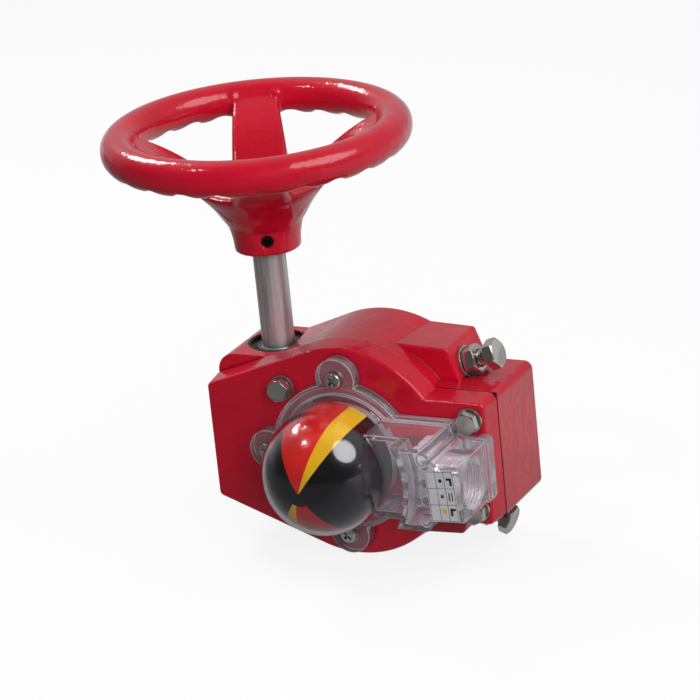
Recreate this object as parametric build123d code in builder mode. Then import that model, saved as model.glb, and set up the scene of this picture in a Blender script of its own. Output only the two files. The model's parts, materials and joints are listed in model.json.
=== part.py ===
"""Quarter-turn worm gear operator with handwheel, ball indicator and supervisory switch.

Millimetres. +Z runs up the worm shaft to the handwheel, -Y is the front with the indicator.
The origin is on the stem axis, in the plane of the rear mounting face.
"""
import os
from math import acos, cos, pi, radians, sin, sqrt, tan

from build123d import *

os.makedirs("parts", exist_ok=True)

# ---------------------------------------------------------------- driving dimensions
# Fits
running_clearance = 0.05        # radial, shafts in bushes and bores
seat_clearance = 0.02           # radial, pieces pressed or seated on each other
bolt_clearance = 0.3            # radial, bolts in their through holes
moving_gap = 0.3                # between moving faces that only pass each other

# Case
case_depth = 60.0               # mounting face to the front face of the cover
cover_depth = 13.2              # front cover with its gasket
gasket_thickness = 0.6
pad_height = 4.5                # mounting pad behind the housing
pad_radius = 45.0
case_wall = 6.9                 # round chamber wall, at the back
housing_draft = 2.5             # degrees, narrowing to the joint
cover_step = 1.3                # front edge of the cover inside the back edge of the housing
cover_draft = 6.5               # degrees, widening to the joint
boss_left = 22.7                # worm axis to the left end face
left_half = 28.4                # half height of the left end face
right_end_edge = 74.3           # stem axis to the right end face of the housing
right_end_half = 31.8           # half height of the right end of the housing
right_end_step = 1.5            # right end of the cover inside that of the housing
corner_radius = 4.0
edge_radius = 1.6
chamber_gap = 4.5               # tips of the teeth to the chamber wall
chamber_back = 13.5             # mounting face to the chamber floor
right_pocket_wall = 7.8
right_pocket_half = 12.5
cover_pocket_depth = 4.4

# Mounting on the valve
mount_circle_radius = 35.0
mount_hole_radius = 3.4
mount_hole_depth = 11.0
spigot_radius = 27.5
spigot_depth = 2.5

# Worm and worm gear
module = 2.0
gear_teeth = 40
worm_pitch_radius = 10.0
pressure_angle = 20.0           # degrees
tooth_backlash = 0.25           # taken from each of the two thicknesses
gear_plane = 25.7               # mounting face to the middle of the gear
gear_width = 14.0
stroke = 90.0                   # degrees of the stem
mesh_margin = 24.75             # degrees of teeth past each end of the stroke
worm_turns_each_side = 2
bore_allowance = 1.4            # worm tip to its bore

# Gear hub
hub_radius = 19.0
hub_shoulder_radius = 22.0
hub_back = 1.0                  # mounting face to the hub's rear face
cover_front_wall = 6.5          # front of the hub to the front face of the cover
stem_bore_radius = 11.0
stem_bore_depth = 41.0
key_width = 6.0
key_depth = 2.8
bush_wall = 2.0
front_bush_length = 6.6
shoulder_gap = 0.3

# Worm shaft, its bearings and boss
shaft_radius = 8.0
shaft_top = 116.0
boss_top = 40.0
boss_bottom = -38.0
boss_right = 20.0               # worm axis to the right side of the boss
boss_corner = 9.0
bearing_seat_radius = 8.5
bearing_outer_radius = 15.0
bearing_width = 7.0
bearing_recess = 1.6            # boss top to the bearing
bearing_ring_wall = 2.0
ball_radius_small = 2.0
bearing_balls_count = 11
circlip_thickness = 1.2
circlip_wall = 1.9
circlip_groove = 0.9
shaft_collar_radius = 10.0
lower_journal_radius = 6.0
lower_bush_radius = 9.0
lower_bush_length = 12.0
thrust_washer_thickness = 1.5
thrust_washer_radius = 9.2

# Handwheel
wheel_height = 144.0            # stem axis to the plane of the rim
wheel_radius = 66.0
rim_radius = 8.75
parting_band = 0.6              # height of the straight band inside and outside the rim
hub_bottom = 88.2
wheel_hub_radius = 16.1
wheel_hub_top_radius = 30.0
wheel_hub_flare_height = 30.5
wheel_hub_waist = 2.8           # growth of the radius over the lower half of the flare
wheel_hub_rim_height = 4.5
wheel_hub_crown = 2.5
spoke_count = 4
spoke_angle = 28.0              # degrees, first spoke from +X
spoke_width_rim = 21.5
spoke_width_hub = 29.0
spoke_thickness = 8.5
spoke_start = 17.0
spoke_drop = 8.7                # hub end of a spoke below the hub's top
spoke_rise = 34.0               # rim end of a spoke above its hub end
spoke_arch = 4.8                # middle of a spoke above the line between its ends
spoke_edge = 1.8
scallops_per_gap = 5
scallop_pitch = 14.5            # degrees
scallop_radius = 8.0
scallop_depth = 2.8
flat_distance = 15.2            # worm axis to the set screw's flat
flat_cut = 20.0
flat_height = 13.0
set_screw_height = 7.2          # above the hub's bottom
set_screw_radius = 3.0
set_screw_length = 5.5
hex_socket_flats = 3.0

# Cover bolts, M6
cover_bolt_gap = 1.34           # washers of the left pair to the clear cover's flange
cover_bolt_right = 66.0         # right pair, stem axis to the bolts
cover_bolt_right_rise = 22.5
cover_bolt_radius = 3.0
cover_bolt_flats = 10.0
cover_bolt_head = 4.0
cover_bolt_grip = 8.5           # thread in the housing
cover_bolt_boss_radius = 7.0
cover_washer_radius = 6.0
cover_washer_thickness = 1.6
spring_washer_thickness = 1.6
spring_washer_radius = 5.0
tapped_boss_depth = 10.0

# Stop bolts, M8
stop_tilt = 20.0                # degrees
stop_offset = 17.6              # stem axis to the bolt's axis
stop_reach = 5.8                # back edge of the round wall to the block's slanted face
stop_contact = 18.0             # stem axis to the gear's stop face, along the bolt
stop_radius = 4.0
stop_flats = 13.0
stop_head = 5.3
stop_nut_height = 6.5
stop_washer_radius = 8.0
stop_washer_thickness = 1.6
stop_thread_showing = 5.2
stop_block_top = 47.2           # at the slanted face
stop_block_rise = 1.3           # left end of the block's top above its right end
stop_block_front = 37.7         # mounting face to the block's front
stop_block_left = 16.0
stop_block_foot = 20.0
stop_block_corner = 2.0
stop_block_edge = 1.2
stop_lug_inner = 8.0
stop_lug_outer = 23.5
stop_end_gap = 0.2
stop_clearance = 1.0            # sides of a stop bolt to the gear
spot_face_margin = 0.6          # round the washer
spot_face_length = 14.0

# Indicator
spindle_radius = 8.0
spindle_core_radius = 5.0
tongue_width = 6.0
tongue_length = 20.0
tongue_depth = 4.5
seal_groove_depth = 1.4
seal_width = 2.0
dome_radius = 30.0
dome_wall = 1.5
ball_gap = 0.4                  # ball to the inside of the dome
dome_centre = 24.0              # cover face to the centre of the dome and ball
ball_wall = 2.5
ball_skirt = 9.0                # cover face to the ball's open edge
ball_hub_radius = 8.0
ball_hub_bottom = 9.0
spindle_end = 16.0              # cover face to the end of the spindle, past the ball's centre
flag_thickness = 0.8
flag_start = 54.5               # degrees from +X towards +Z
yellow_arc = 18.9
red_arc = 48.6
flag_tip_radius = 0.4           # the first flags start this far from the pole
flag_blank_radius = 6.0         # the opposite flags start this far from the pole

# Clear cover
flange_thickness = 6.0
flange_width = 6.5              # outside the dome
flange_groove_start = 1.6       # outside the dome
flange_groove_width = 3.4
flange_groove_depth = 1.6
ear_distance = 9.25             # dome to the screws in the ears
ear_radius = 10.0
saddle_height = dome_centre
box_height = 35.0
box_arc_distance = 15.0         # dome to the box's left edge, an arc round the stem axis
box_half = 20.5
box_neck_half = 14.4
box_step_sum = 76.6             # x + z along the 45 degree step
box_right = 75.0
box_wall = 2.5
box_edge_radius = 1.0
base_half = 22.0
base_step = 62.0
base_right_half = 16.0
base_right = 76.5
base_notch_radius = 8.4
pillar_x = 56.0
pillar_z = 15.0
pillar_radius = 3.4
pillar_floor = 6.0
box_seal_offset = 0.6
box_seal_width = 1.2
box_seal_depth = 1.0
conduit_radius = 12.2
conduit_height = 20.0           # cover face to the conduit's axis
conduit_length = 13.0

# Screws of the clear cover, M4
cover_screw_radius = 2.0
cover_screw_head_radius = 4.0
cover_screw_head = 2.4
cover_screw_length = 7.0        # thread in the cover
cover_screw_washer_radius = 4.6
cover_screw_washer = 0.8
pillar_screw_head_radius = 2.5
pillar_screw_radius = 1.5

# Supervisory switch and its cam
cam_base_radius = 25.5
cam_lobe_radius = 27.5
cam_lobe_arc = 60.0
cam_height = 6.4
cam_floor = 1.2
switch_left = 30.5
switch_depth = 10.2
switch_length = 19.8
switch_thickness = 6.4
plunger_radius = 1.3
plunger_travel = 1.0
plunger_reach = 2.7
switch_screw_radius = 1.1
switch_screw_head_radius = 2.0
switch_screw_spacing = 9.5
switch_screw_length = 3.5
switch_tag_pitch = 7.0

# Terminal strip
terminal_left = 42.9
terminal_right = 53.5
terminal_bottom = -15.5
terminal_top = 11.0
terminal_height = 21.3
terminal_corner = 3.6
terminal_column_x = 45.6        # left column of screws
terminal_column_pitch = 4.9
terminal_row_z = 6.7            # top row of screws
terminal_row_pitch = 8.9
terminal_screw_radius = 2.3
terminal_screw_depth = 3.0
terminal_screw_sink = 0.8
pole_wall = 0.6
pole_height = 3.0
wire_entry_radius = 1.6
wire_entry_drop = 9.5           # top of the strip to the wire entries

# ---------------------------------------------------------------- derived sizes
back_y = -pad_height
joint_y = -(case_depth - cover_depth)
cover_back_y = joint_y - gasket_thickness
face_y = -case_depth
gear_y = -gear_plane
housing_depth = back_y - joint_y
cover_thickness = cover_depth - gasket_thickness
gear_pitch_radius = module * gear_teeth / 2
gear_tip_radius = gear_pitch_radius + module
gear_root_radius = gear_pitch_radius - 1.25 * module
hub_front = case_depth - cover_front_wall
chamber_radius = gear_tip_radius + chamber_gap
housing_radius = chamber_radius + case_wall
cover_radius = housing_radius - cover_step
right_pocket_end = right_end_edge - right_pocket_wall
stop_face = housing_radius + stop_reach
flange_radius = dome_radius + flange_width
cover_bolt_left = (flange_radius + cover_washer_radius + cover_bolt_gap) / sqrt(2)
cover_bolt_places = [
    (-cover_bolt_left, cover_bolt_left),
    (-cover_bolt_left, -cover_bolt_left),
    (cover_bolt_right, cover_bolt_right_rise),
    (cover_bolt_right, -cover_bolt_right_rise),
]
worm_tip_radius = worm_pitch_radius + module
worm_root_radius = worm_pitch_radius - 1.2 * module
worm_lead = pi * module
worm_x = -(gear_pitch_radius + worm_pitch_radius)
left_edge = boss_left - worm_x
tooth_angle = 360 / gear_teeth
half_thread = (pi * module / 2 - tooth_backlash) / 2
helix_half_length = worm_turns_each_side * worm_lead
thread_slope = tan(radians(pressure_angle))
thread_base_radius = worm_root_radius - 0.4
thread_base_half = half_thread + (worm_pitch_radius - thread_base_radius) * thread_slope
thread_tip_half = half_thread - module * thread_slope
worm_half_length = helix_half_length + thread_base_half + 0.5
worm_bore_radius = worm_tip_radius + bore_allowance
bearing_top = boss_top - bearing_recess
bearing_bottom = bearing_top - bearing_width
dome_y = face_y - dome_centre
ball_radius = dome_radius - dome_wall - ball_gap
ear_circle_radius = dome_radius + ear_distance
box_inner_arc = dome_radius + box_arc_distance
pillar_places = [(pillar_x, pillar_z), (pillar_x, -pillar_z)]
terminal_columns = [terminal_column_x, terminal_column_x + terminal_column_pitch]
terminal_rows = [terminal_row_z - row * terminal_row_pitch for row in range(3)]
flange_y = face_y - flange_thickness
spoke_reach = wheel_radius - 4.0
wheel_hub_top = hub_bottom + wheel_hub_flare_height + wheel_hub_rim_height
worm_axis = Axis((worm_x, gear_y, 0), (0, 0, 1))


# ---------------------------------------------------------------- helpers
def front_plane(y, x=0.0, z=0.0):
    """Plane seen from the front: local x is +X, local y is +Z, normal towards the viewer."""
    return Plane(origin=(x, y, z), x_dir=(1, 0, 0), z_dir=(0, -1, 0))


def stem_section(angle=0.0):
    """Half plane through the stem axis: local x is radial, local y is +Y."""
    turn = radians(angle)
    return Plane(origin=(0, 0, 0), x_dir=(cos(turn), 0, sin(turn)), z_dir=(-sin(turn), 0, cos(turn)))


def worm_section(angle=0.0):
    """Half plane through the worm axis: local x is radial, local y is +Z."""
    turn = radians(angle)
    outward = (sin(turn), -cos(turn), 0)
    return Plane(origin=(worm_x, gear_y, 0), x_dir=(cos(turn), sin(turn), 0), z_dir=outward)


def worm_level(z):
    """Plane across the worm axis at height z."""
    return Plane(origin=(worm_x, gear_y, z), x_dir=(1, 0, 0), z_dir=(0, 0, 1))


def stop_plane(side, distance):
    """Plane across a stop bolt; side is 1 for the upper and -1 for the lower bolt."""
    turn = radians(stop_tilt)
    normal = Vector(cos(turn), 0, side * sin(turn))
    foot = Vector(-stop_offset * sin(turn), gear_y, side * stop_offset * cos(turn))
    return Plane(origin=foot + normal * distance, x_dir=(0, 1, 0), z_dir=normal)


def round_outline(radius, edge, half):
    """Round chamber with tangents to a flat left end."""
    with BuildSketch() as outline:
        with BuildLine():
            CenterArc((0, 0), radius, 0, 360)
            Line((-edge, -half), (-edge, half))
        make_hull()
        fillet(outline.vertices().group_by(Axis.X)[0], corner_radius)
    return outline.sketch


def ring(plane, inner, outer, height):
    """Plain ring standing on a plane."""
    with BuildPart() as piece:
        with BuildSketch(plane):
            Circle(outer)
            Circle(inner, mode=Mode.SUBTRACT)
        extrude(amount=height)
    return piece.part


def hexagon(plane, flats, height, bore=0.0):
    """Hexagon with its outer corners chamfered, and a bore if it is a nut."""
    with BuildPart() as piece:
        with BuildSketch(plane):
            RegularPolygon(flats / 2, 6, major_radius=False)
        extrude(amount=height)
        with BuildSketch(plane.offset(height)):
            Circle(flats / 2 * 0.96)
        extrude(amount=-height, taper=-60, mode=Mode.INTERSECT)
        if bore:
            with BuildSketch(plane):
                Circle(bore)
            extrude(amount=height, mode=Mode.SUBTRACT)
    return piece.part


def hex_bolt(plane, flats, head, radius, length):
    """Hexagon bolt: the head stands on the plane, the shank runs back from it."""
    with BuildPart() as bolt:
        add(hexagon(plane, flats, head))
        with BuildSketch(plane):
            Circle(radius)
        extrude(amount=-length)
        chamfer(bolt.faces().sort_by(Axis(plane.origin, plane.z_dir))[0].edges(), radius * 0.15)
    return bolt.part


def pan_screw(plane, head_radius, head, radius, length):
    """Pan head screw with a cross recess: the head stands on the plane."""
    with BuildPart() as screw:
        with BuildSketch(plane):
            Circle(head_radius)
        extrude(amount=head)
        top = screw.faces().sort_by(Axis(plane.origin, plane.z_dir))[-1]
        fillet(top.edges(), head * 0.45)
        with BuildSketch(plane.offset(head)):
            Rectangle(head_radius * 1.2, head_radius * 0.28, rotation=45)
            Rectangle(head_radius * 1.2, head_radius * 0.28, rotation=135)
        extrude(amount=-head * 0.5, mode=Mode.SUBTRACT)
        with BuildSketch(plane):
            Circle(radius)
        extrude(amount=-length)
    return screw.part


# ---------------------------------------------------------------- gear housing
stop_turn = radians(stop_tilt)


def block_face_x(z):
    """Where the stop block's slanted face crosses height z."""
    return (stop_face - z * sin(stop_turn)) / cos(stop_turn)


with BuildPart() as stop_block:
    with BuildSketch(front_plane(back_y)):
        with BuildLine():
            Polyline(
                (stop_block_left, stop_block_foot),
                (block_face_x(stop_block_foot), stop_block_foot),
                (block_face_x(stop_block_top), stop_block_top),
                (stop_block_left, stop_block_top + stop_block_rise),
                close=True,
            )
        make_face()
    extrude(amount=stop_block_front - pad_height)
    block_corners = stop_block.edges().filter_by(Axis.Y).sort_by(Axis((0, 0, 0), (1, 0, 1)))
    fillet(block_corners[-1], stop_block_corner)
    fillet(stop_block.faces().sort_by(Axis.Y)[0].edges(), stop_block_edge)

with BuildPart() as gear_housing:
    with BuildSketch(front_plane(back_y)):
        add(round_outline(housing_radius, left_edge, left_half))
    extrude(amount=housing_depth, taper=housing_draft)
    with BuildSketch(front_plane(back_y)) as right_end:
        with Locations((right_end_edge / 2, 0)):
            Rectangle(right_end_edge, 2 * right_end_half)
        fillet(right_end.vertices().group_by(Axis.X)[-1], corner_radius)
    extrude(amount=housing_depth)
    # worm boss
    with BuildSketch(front_plane(back_y)) as boss:
        boss_width = left_edge + worm_x + boss_right
        with Locations((boss_width / 2 - left_edge, (boss_top + boss_bottom) / 2)):
            Rectangle(boss_width, boss_top - boss_bottom)
        fillet(boss.vertices().group_by(Axis.X)[0], boss_corner)
    extrude(amount=housing_depth)
    # blocks for the stop bolts
    add(stop_block.part)
    add(stop_block.part.mirror(Plane.XY))
    fillet(gear_housing.faces().sort_by(Axis.Y)[-1].edges(), edge_radius)
    # mounting pad
    with BuildSketch(front_plane(0)):
        Circle(pad_radius)
    extrude(amount=pad_height + edge_radius + 1)
    # gear chamber
    with BuildSketch(front_plane(-chamber_back)):
        Circle(chamber_radius)
        with Locations((right_pocket_end / 2, 0)):
            Rectangle(right_pocket_end, 2 * right_pocket_half)
    extrude(amount=-joint_y - chamber_back, mode=Mode.SUBTRACT)
    with BuildSketch(front_plane(joint_y)):
        with Locations(cover_bolt_places[0], cover_bolt_places[1]):
            Circle(cover_bolt_boss_radius)
    extrude(amount=-tapped_boss_depth)
    # worm bore, bearing seat and lower bush seat
    worm_floor = -worm_half_length - moving_gap - thrust_washer_thickness
    with BuildSketch(worm_level(worm_floor)):
        Circle(worm_bore_radius)
    extrude(amount=boss_top - worm_floor, mode=Mode.SUBTRACT)
    with BuildSketch(worm_level(bearing_bottom)):
        Circle(bearing_outer_radius + seat_clearance)
    extrude(amount=boss_top - bearing_bottom, mode=Mode.SUBTRACT)
    with BuildSketch(worm_level(bearing_top)):
        Circle(bearing_outer_radius + circlip_groove)
    extrude(amount=circlip_thickness + 0.1, mode=Mode.SUBTRACT)
    with BuildSketch(worm_level(worm_floor - lower_bush_length)):
        Circle(lower_bush_radius + seat_clearance)
    extrude(amount=lower_bush_length, mode=Mode.SUBTRACT)
    # bore for the gear hub and its bush, valve spigot
    with BuildSketch(front_plane(0)):
        Circle(hub_radius + bush_wall + seat_clearance)
    extrude(amount=chamber_back, mode=Mode.SUBTRACT)
    with BuildSketch(front_plane(0)):
        Circle(spigot_radius)
    extrude(amount=spigot_depth, mode=Mode.SUBTRACT)
    # tapped holes for the valve
    with BuildSketch(front_plane(0)):
        with PolarLocations(mount_circle_radius, 4, start_angle=45):
            Circle(mount_hole_radius)
    extrude(amount=mount_hole_depth, mode=Mode.SUBTRACT)
    # tapped holes for the cover bolts
    with BuildSketch(front_plane(joint_y)):
        with Locations(*cover_bolt_places):
            Circle(cover_bolt_radius + seat_clearance)
    extrude(amount=-cover_bolt_grip, mode=Mode.SUBTRACT)
    # tapped holes and spot faces for the stop bolts
    for side in (1, -1):
        with BuildSketch(stop_plane(side, stop_face)):
            Circle(stop_radius + seat_clearance)
        extrude(amount=-(stop_face - stop_contact), mode=Mode.SUBTRACT)
        with BuildSketch(stop_plane(side, stop_face)):
            Circle(stop_washer_radius + spot_face_margin)
        extrude(amount=spot_face_length, mode=Mode.SUBTRACT)

# ---------------------------------------------------------------- gasket and front cover
with BuildPart() as cover_gasket:
    cover_growth = cover_thickness * tan(radians(cover_draft))
    with BuildSketch(front_plane(joint_y)):
        add(round_outline(housing_radius - 3.0, left_edge - 1.2, left_half - 1.2))
        with Locations((right_end_edge / 2, 0)):
            Rectangle(right_end_edge - 1.0, 2 * right_end_half - 1.0)
        Circle(chamber_radius + 0.5, mode=Mode.SUBTRACT)
        with Locations((right_pocket_end / 2, 0)):
            Rectangle(right_pocket_end, 2 * right_pocket_half + 1, mode=Mode.SUBTRACT)
        with Locations(*cover_bolt_places):
            Circle(cover_bolt_radius + bolt_clearance, mode=Mode.SUBTRACT)
    extrude(amount=gasket_thickness)

with BuildPart() as front_cover:
    with BuildSketch(front_plane(cover_back_y)) as cover_outline:
        add(round_outline(cover_radius + cover_growth, left_edge + cover_growth, left_half + cover_growth))
        cover_end = right_end_edge - right_end_step + cover_growth
        with Locations((cover_end / 2, 0)):
            Rectangle(cover_end, 2 * (right_end_half - right_end_step + cover_growth))
        fillet(cover_outline.vertices().group_by(Axis.X)[-1], corner_radius)
    extrude(amount=cover_thickness, taper=cover_draft)
    fillet(front_cover.faces().sort_by(Axis.Y)[0].edges(), edge_radius)
    # chamber pocket behind the cover, round the boss for the front bush
    with BuildSketch(front_plane(cover_back_y)):
        Circle(chamber_radius)
        Circle(hub_radius + bush_wall + 5, mode=Mode.SUBTRACT)
        with Locations(cover_bolt_places[0], cover_bolt_places[1]):
            Circle(cover_bolt_boss_radius, mode=Mode.SUBTRACT)
    extrude(amount=cover_pocket_depth, mode=Mode.SUBTRACT)
    with BuildSketch(front_plane(cover_back_y)):
        Circle(hub_radius + bush_wall + seat_clearance)
    extrude(amount=front_bush_length, mode=Mode.SUBTRACT)
    with BuildSketch(front_plane(cover_back_y)):
        Circle(spindle_radius + running_clearance)
    extrude(amount=cover_thickness, mode=Mode.SUBTRACT)
    with BuildSketch(front_plane(cover_back_y)):
        with Locations(*cover_bolt_places):
            Circle(cover_bolt_radius + bolt_clearance)
    extrude(amount=cover_thickness, mode=Mode.SUBTRACT)
    # tapped holes for the clear cover, the switch and the terminal strip
    with BuildSketch(front_plane(face_y)):
        with PolarLocations(ear_circle_radius, 3, start_angle=90, angular_range=270):
            Circle(cover_screw_radius + seat_clearance)
        with Locations(*pillar_places):
            Circle(pillar_screw_radius + seat_clearance)
    extrude(amount=-cover_screw_length, mode=Mode.SUBTRACT)
    with BuildSketch(front_plane(face_y)):
        with Locations((switch_left + switch_depth / 2, 0)):
            with GridLocations(0, switch_screw_spacing, 1, 2):
                Circle(switch_screw_radius + seat_clearance)
    extrude(amount=-switch_screw_length, mode=Mode.SUBTRACT)

# ---------------------------------------------------------------- worm shaft
with BuildPart() as worm_shaft:
    with BuildSketch(worm_section()):
        with BuildLine():
            Polyline(
                (0, worm_floor - lower_bush_length + 1),
                (lower_journal_radius - 0.6, worm_floor - lower_bush_length + 1),
                (lower_journal_radius, worm_floor - lower_bush_length + 1.6),
                (lower_journal_radius, -worm_half_length),
                (worm_root_radius, -worm_half_length),
                (worm_root_radius, worm_half_length),
                (shaft_collar_radius, worm_half_length + 2.0),
                (shaft_collar_radius, bearing_bottom),
                (bearing_seat_radius, bearing_bottom),
                (bearing_seat_radius, bearing_top),
                (shaft_radius, bearing_top + 0.5),
                (shaft_radius, shaft_top - 1),
                (shaft_radius - 1, shaft_top),
                (0, shaft_top),
                close=True,
            )
        make_face()
    revolve(axis=worm_axis)

with BuildPart() as worm_thread:
    with BuildLine():
        helix_start = (worm_x, gear_y, -helix_half_length)
        Helix(worm_lead, 2 * helix_half_length, worm_pitch_radius, center=helix_start)
    with BuildSketch(worm_section()):
        with BuildLine():
            Polyline(
                (thread_base_radius, -thread_base_half - helix_half_length),
                (worm_tip_radius, -thread_tip_half - helix_half_length),
                (worm_tip_radius, thread_tip_half - helix_half_length),
                (thread_base_radius, thread_base_half - helix_half_length),
                close=True,
            )
        make_face()
    sweep(is_frenet=True)

with BuildPart() as worm_with_thread:
    add(worm_shaft.part)
    add(worm_thread.part)

# ---------------------------------------------------------------- bearings of the worm
ring_middle = (bearing_seat_radius + bearing_outer_radius) / 2
race_radius = ball_radius_small + running_clearance
bearing_middle = (bearing_top + bearing_bottom) / 2

with BuildPart() as bearing_outer_ring:
    outer_ring_bore = bearing_outer_radius - bearing_ring_wall
    add(ring(worm_level(bearing_bottom), outer_ring_bore, bearing_outer_radius, bearing_width))
    with BuildSketch(worm_section()):
        with Locations((ring_middle, bearing_middle)):
            Circle(race_radius)
    revolve(axis=worm_axis, mode=Mode.SUBTRACT)

with BuildPart() as bearing_inner_ring:
    inner_ring_bore = bearing_seat_radius + seat_clearance
    inner_ring_radius = bearing_seat_radius + bearing_ring_wall
    add(ring(worm_level(bearing_bottom), inner_ring_bore, inner_ring_radius, bearing_width))
    with BuildSketch(worm_section()):
        with Locations((ring_middle, bearing_middle)):
            Circle(race_radius)
    revolve(axis=worm_axis, mode=Mode.SUBTRACT)

with BuildPart() as bearing_balls:
    with BuildSketch(worm_section()):
        with BuildLine():
            half_circle = CenterArc((ring_middle, bearing_middle), ball_radius_small, -90, 180)
            Line(half_circle @ 1, half_circle @ 0)
        make_face()
    revolve(axis=Axis((worm_x + ring_middle, gear_y, 0), (0, 0, 1)))

with BuildPart() as bearing_ball_set:
    for index in range(bearing_balls_count):
        add(bearing_balls.part.rotate(worm_axis, index * 360 / bearing_balls_count))

shield_inner = bearing_seat_radius + bearing_ring_wall + moving_gap
shield_outer = bearing_outer_radius - bearing_ring_wall - seat_clearance
bearing_shield = ring(worm_level(bearing_top - 1.2), shield_inner, shield_outer, 0.8)

with BuildPart() as bearing_circlip:
    with BuildSketch(worm_level(bearing_top)):
        Circle(bearing_outer_radius + circlip_groove - seat_clearance)
        Circle(bearing_outer_radius - circlip_wall + circlip_groove, mode=Mode.SUBTRACT)
        with Locations((bearing_outer_radius, 0)):
            Rectangle(3 * circlip_wall, 3.0, mode=Mode.SUBTRACT)
        for side in (1, -1):
            with Locations(Vector(bearing_outer_radius - circlip_wall, 0).rotate(Axis.Z, side * 12)):
                Circle(1.7)
        for side in (1, -1):
            with Locations(Vector(bearing_outer_radius - circlip_wall, 0).rotate(Axis.Z, side * 12)):
                Circle(0.8, mode=Mode.SUBTRACT)
    extrude(amount=circlip_thickness)

lower_worm_bush = ring(
    worm_level(worm_floor - lower_bush_length),
    lower_journal_radius + running_clearance,
    lower_bush_radius,
    lower_bush_length,
)
worm_thrust_washer = ring(
    worm_level(worm_floor), lower_journal_radius + moving_gap, thrust_washer_radius, thrust_washer_thickness
)

# ---------------------------------------------------------------- worm gear segment
mesh_angle = 180.0              # degrees from +X towards +Z, where the worm meets the gear


def involute_half_angle(radius):
    """Half the tooth's angle at a radius, in radians."""
    base = gear_pitch_radius * cos(radians(pressure_angle))
    def involute(at):
        angle = acos(min(1, base / at))
        return tan(angle) - angle
    pitch_half = half_thread / gear_pitch_radius
    return pitch_half + involute(gear_pitch_radius) - involute(max(radius, base))


def gap_outline(twist):
    """Space between two teeth where the worm meets the gear, turned by a helix twist in radians."""
    flank = []
    for step in range(5):
        radius = gear_root_radius + step * (gear_tip_radius + 0.6 - gear_root_radius) / 4
        flank.append((radius, radians(tooth_angle) / 2 - involute_half_angle(radius)))
    with BuildSketch() as outline:
        points = [(r * cos(pi - twist + a), r * sin(pi - twist + a)) for r, a in flank]
        points += [(r * cos(pi - twist - a), r * sin(pi - twist - a)) for r, a in reversed(flank)]
        with BuildLine():
            Polyline(*points, close=True)
        make_face()
    return outline.sketch


helix_twist = gear_width / 2 * worm_lead / (2 * pi * worm_pitch_radius) / gear_pitch_radius
with BuildPart() as tooth_gap:
    with BuildSketch(front_plane(gear_y + gear_width / 2)):
        add(gap_outline(helix_twist))
    with BuildSketch(front_plane(gear_y - gear_width / 2)):
        add(gap_outline(-helix_twist))
    loft()

gaps_each_side = int(mesh_margin // tooth_angle)
gap_count = int(stroke / tooth_angle) + 2 * gaps_each_side + 1
with BuildPart() as worm_gear_segment:
    with BuildSketch(front_plane(gear_y + gear_width / 2)):
        first_edge = mesh_angle - mesh_margin
        last_edge = mesh_angle + stroke + mesh_margin
        with BuildLine():
            arc = CenterArc((0, 0), gear_tip_radius, first_edge, last_edge - first_edge)
            Line((0, 0), arc @ 0)
            Line((0, 0), arc @ 1)
        make_face()
        # stop lugs, and the room that the stop bolts need beside them
        upper_lug_angle = mesh_angle - stroke + stop_tilt
        lower_lug_angle = mesh_angle + stroke + 90 - stop_tilt
        for facing, side in ((upper_lug_angle, 1), (lower_lug_angle, -1)):
            out = Vector(1, 0).rotate(Axis.Z, facing)
            across = Vector(1, 0).rotate(Axis.Z, facing + side * 90)
            lug_width = stop_lug_outer - stop_lug_inner
            with Locations(out * (stop_contact / 2) + across * ((stop_lug_inner + stop_lug_outer) / 2)):
                Rectangle(stop_contact, lug_width, rotation=facing)
            clear_edge = stop_offset + stop_radius + stop_clearance
            clear_start = stop_contact + gear_tip_radius / 2
            clear_middle = out * clear_start + across * (clear_edge - hub_radius / 2)
            with Locations(clear_middle):
                Rectangle(gear_tip_radius, hub_radius, rotation=facing, mode=Mode.SUBTRACT)
    extrude(amount=gear_width)
    with BuildSketch(front_plane(-chamber_back - shoulder_gap)):
        Circle(hub_shoulder_radius)
    extrude(amount=-cover_back_y - chamber_back - 2 * shoulder_gap)
    with BuildSketch(front_plane(-hub_back)):
        Circle(hub_radius)
    extrude(amount=hub_front - hub_back)
    for index in range(gap_count):
        turn = (index - gaps_each_side) * tooth_angle
        add(tooth_gap.part.rotate(Axis.Y, -turn), mode=Mode.SUBTRACT)
    # keyed stem bore
    with BuildSketch(front_plane(-hub_back)):
        Circle(stem_bore_radius)
        with Locations((0, stem_bore_radius)):
            Rectangle(key_width, 2 * key_depth)
    extrude(amount=stem_bore_depth, mode=Mode.SUBTRACT)
    # slot for the indicator spindle's tongue
    with BuildSketch(front_plane(-hub_front)):
        Rectangle(tongue_length + 2 * seat_clearance, tongue_width + 2 * seat_clearance)
    extrude(amount=-tongue_depth, mode=Mode.SUBTRACT)
    # groove for the stem seal
    with BuildSketch(front_plane(-spigot_depth - 2)):
        Circle(hub_radius + 1)
        Circle(hub_radius - seal_groove_depth, mode=Mode.SUBTRACT)
    extrude(amount=seal_width, mode=Mode.SUBTRACT)

stem_seal = ring(
    front_plane(-spigot_depth - 2 - seat_clearance),
    hub_radius - seal_groove_depth + seat_clearance,
    hub_radius,
    seal_width - 2 * seat_clearance,
)
rear_hub_bush = ring(
    front_plane(-spigot_depth),
    hub_radius + running_clearance,
    hub_radius + bush_wall,
    chamber_back - spigot_depth,
)
front_hub_bush = ring(
    front_plane(cover_back_y), hub_radius + running_clearance, hub_radius + bush_wall, front_bush_length
)


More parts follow.
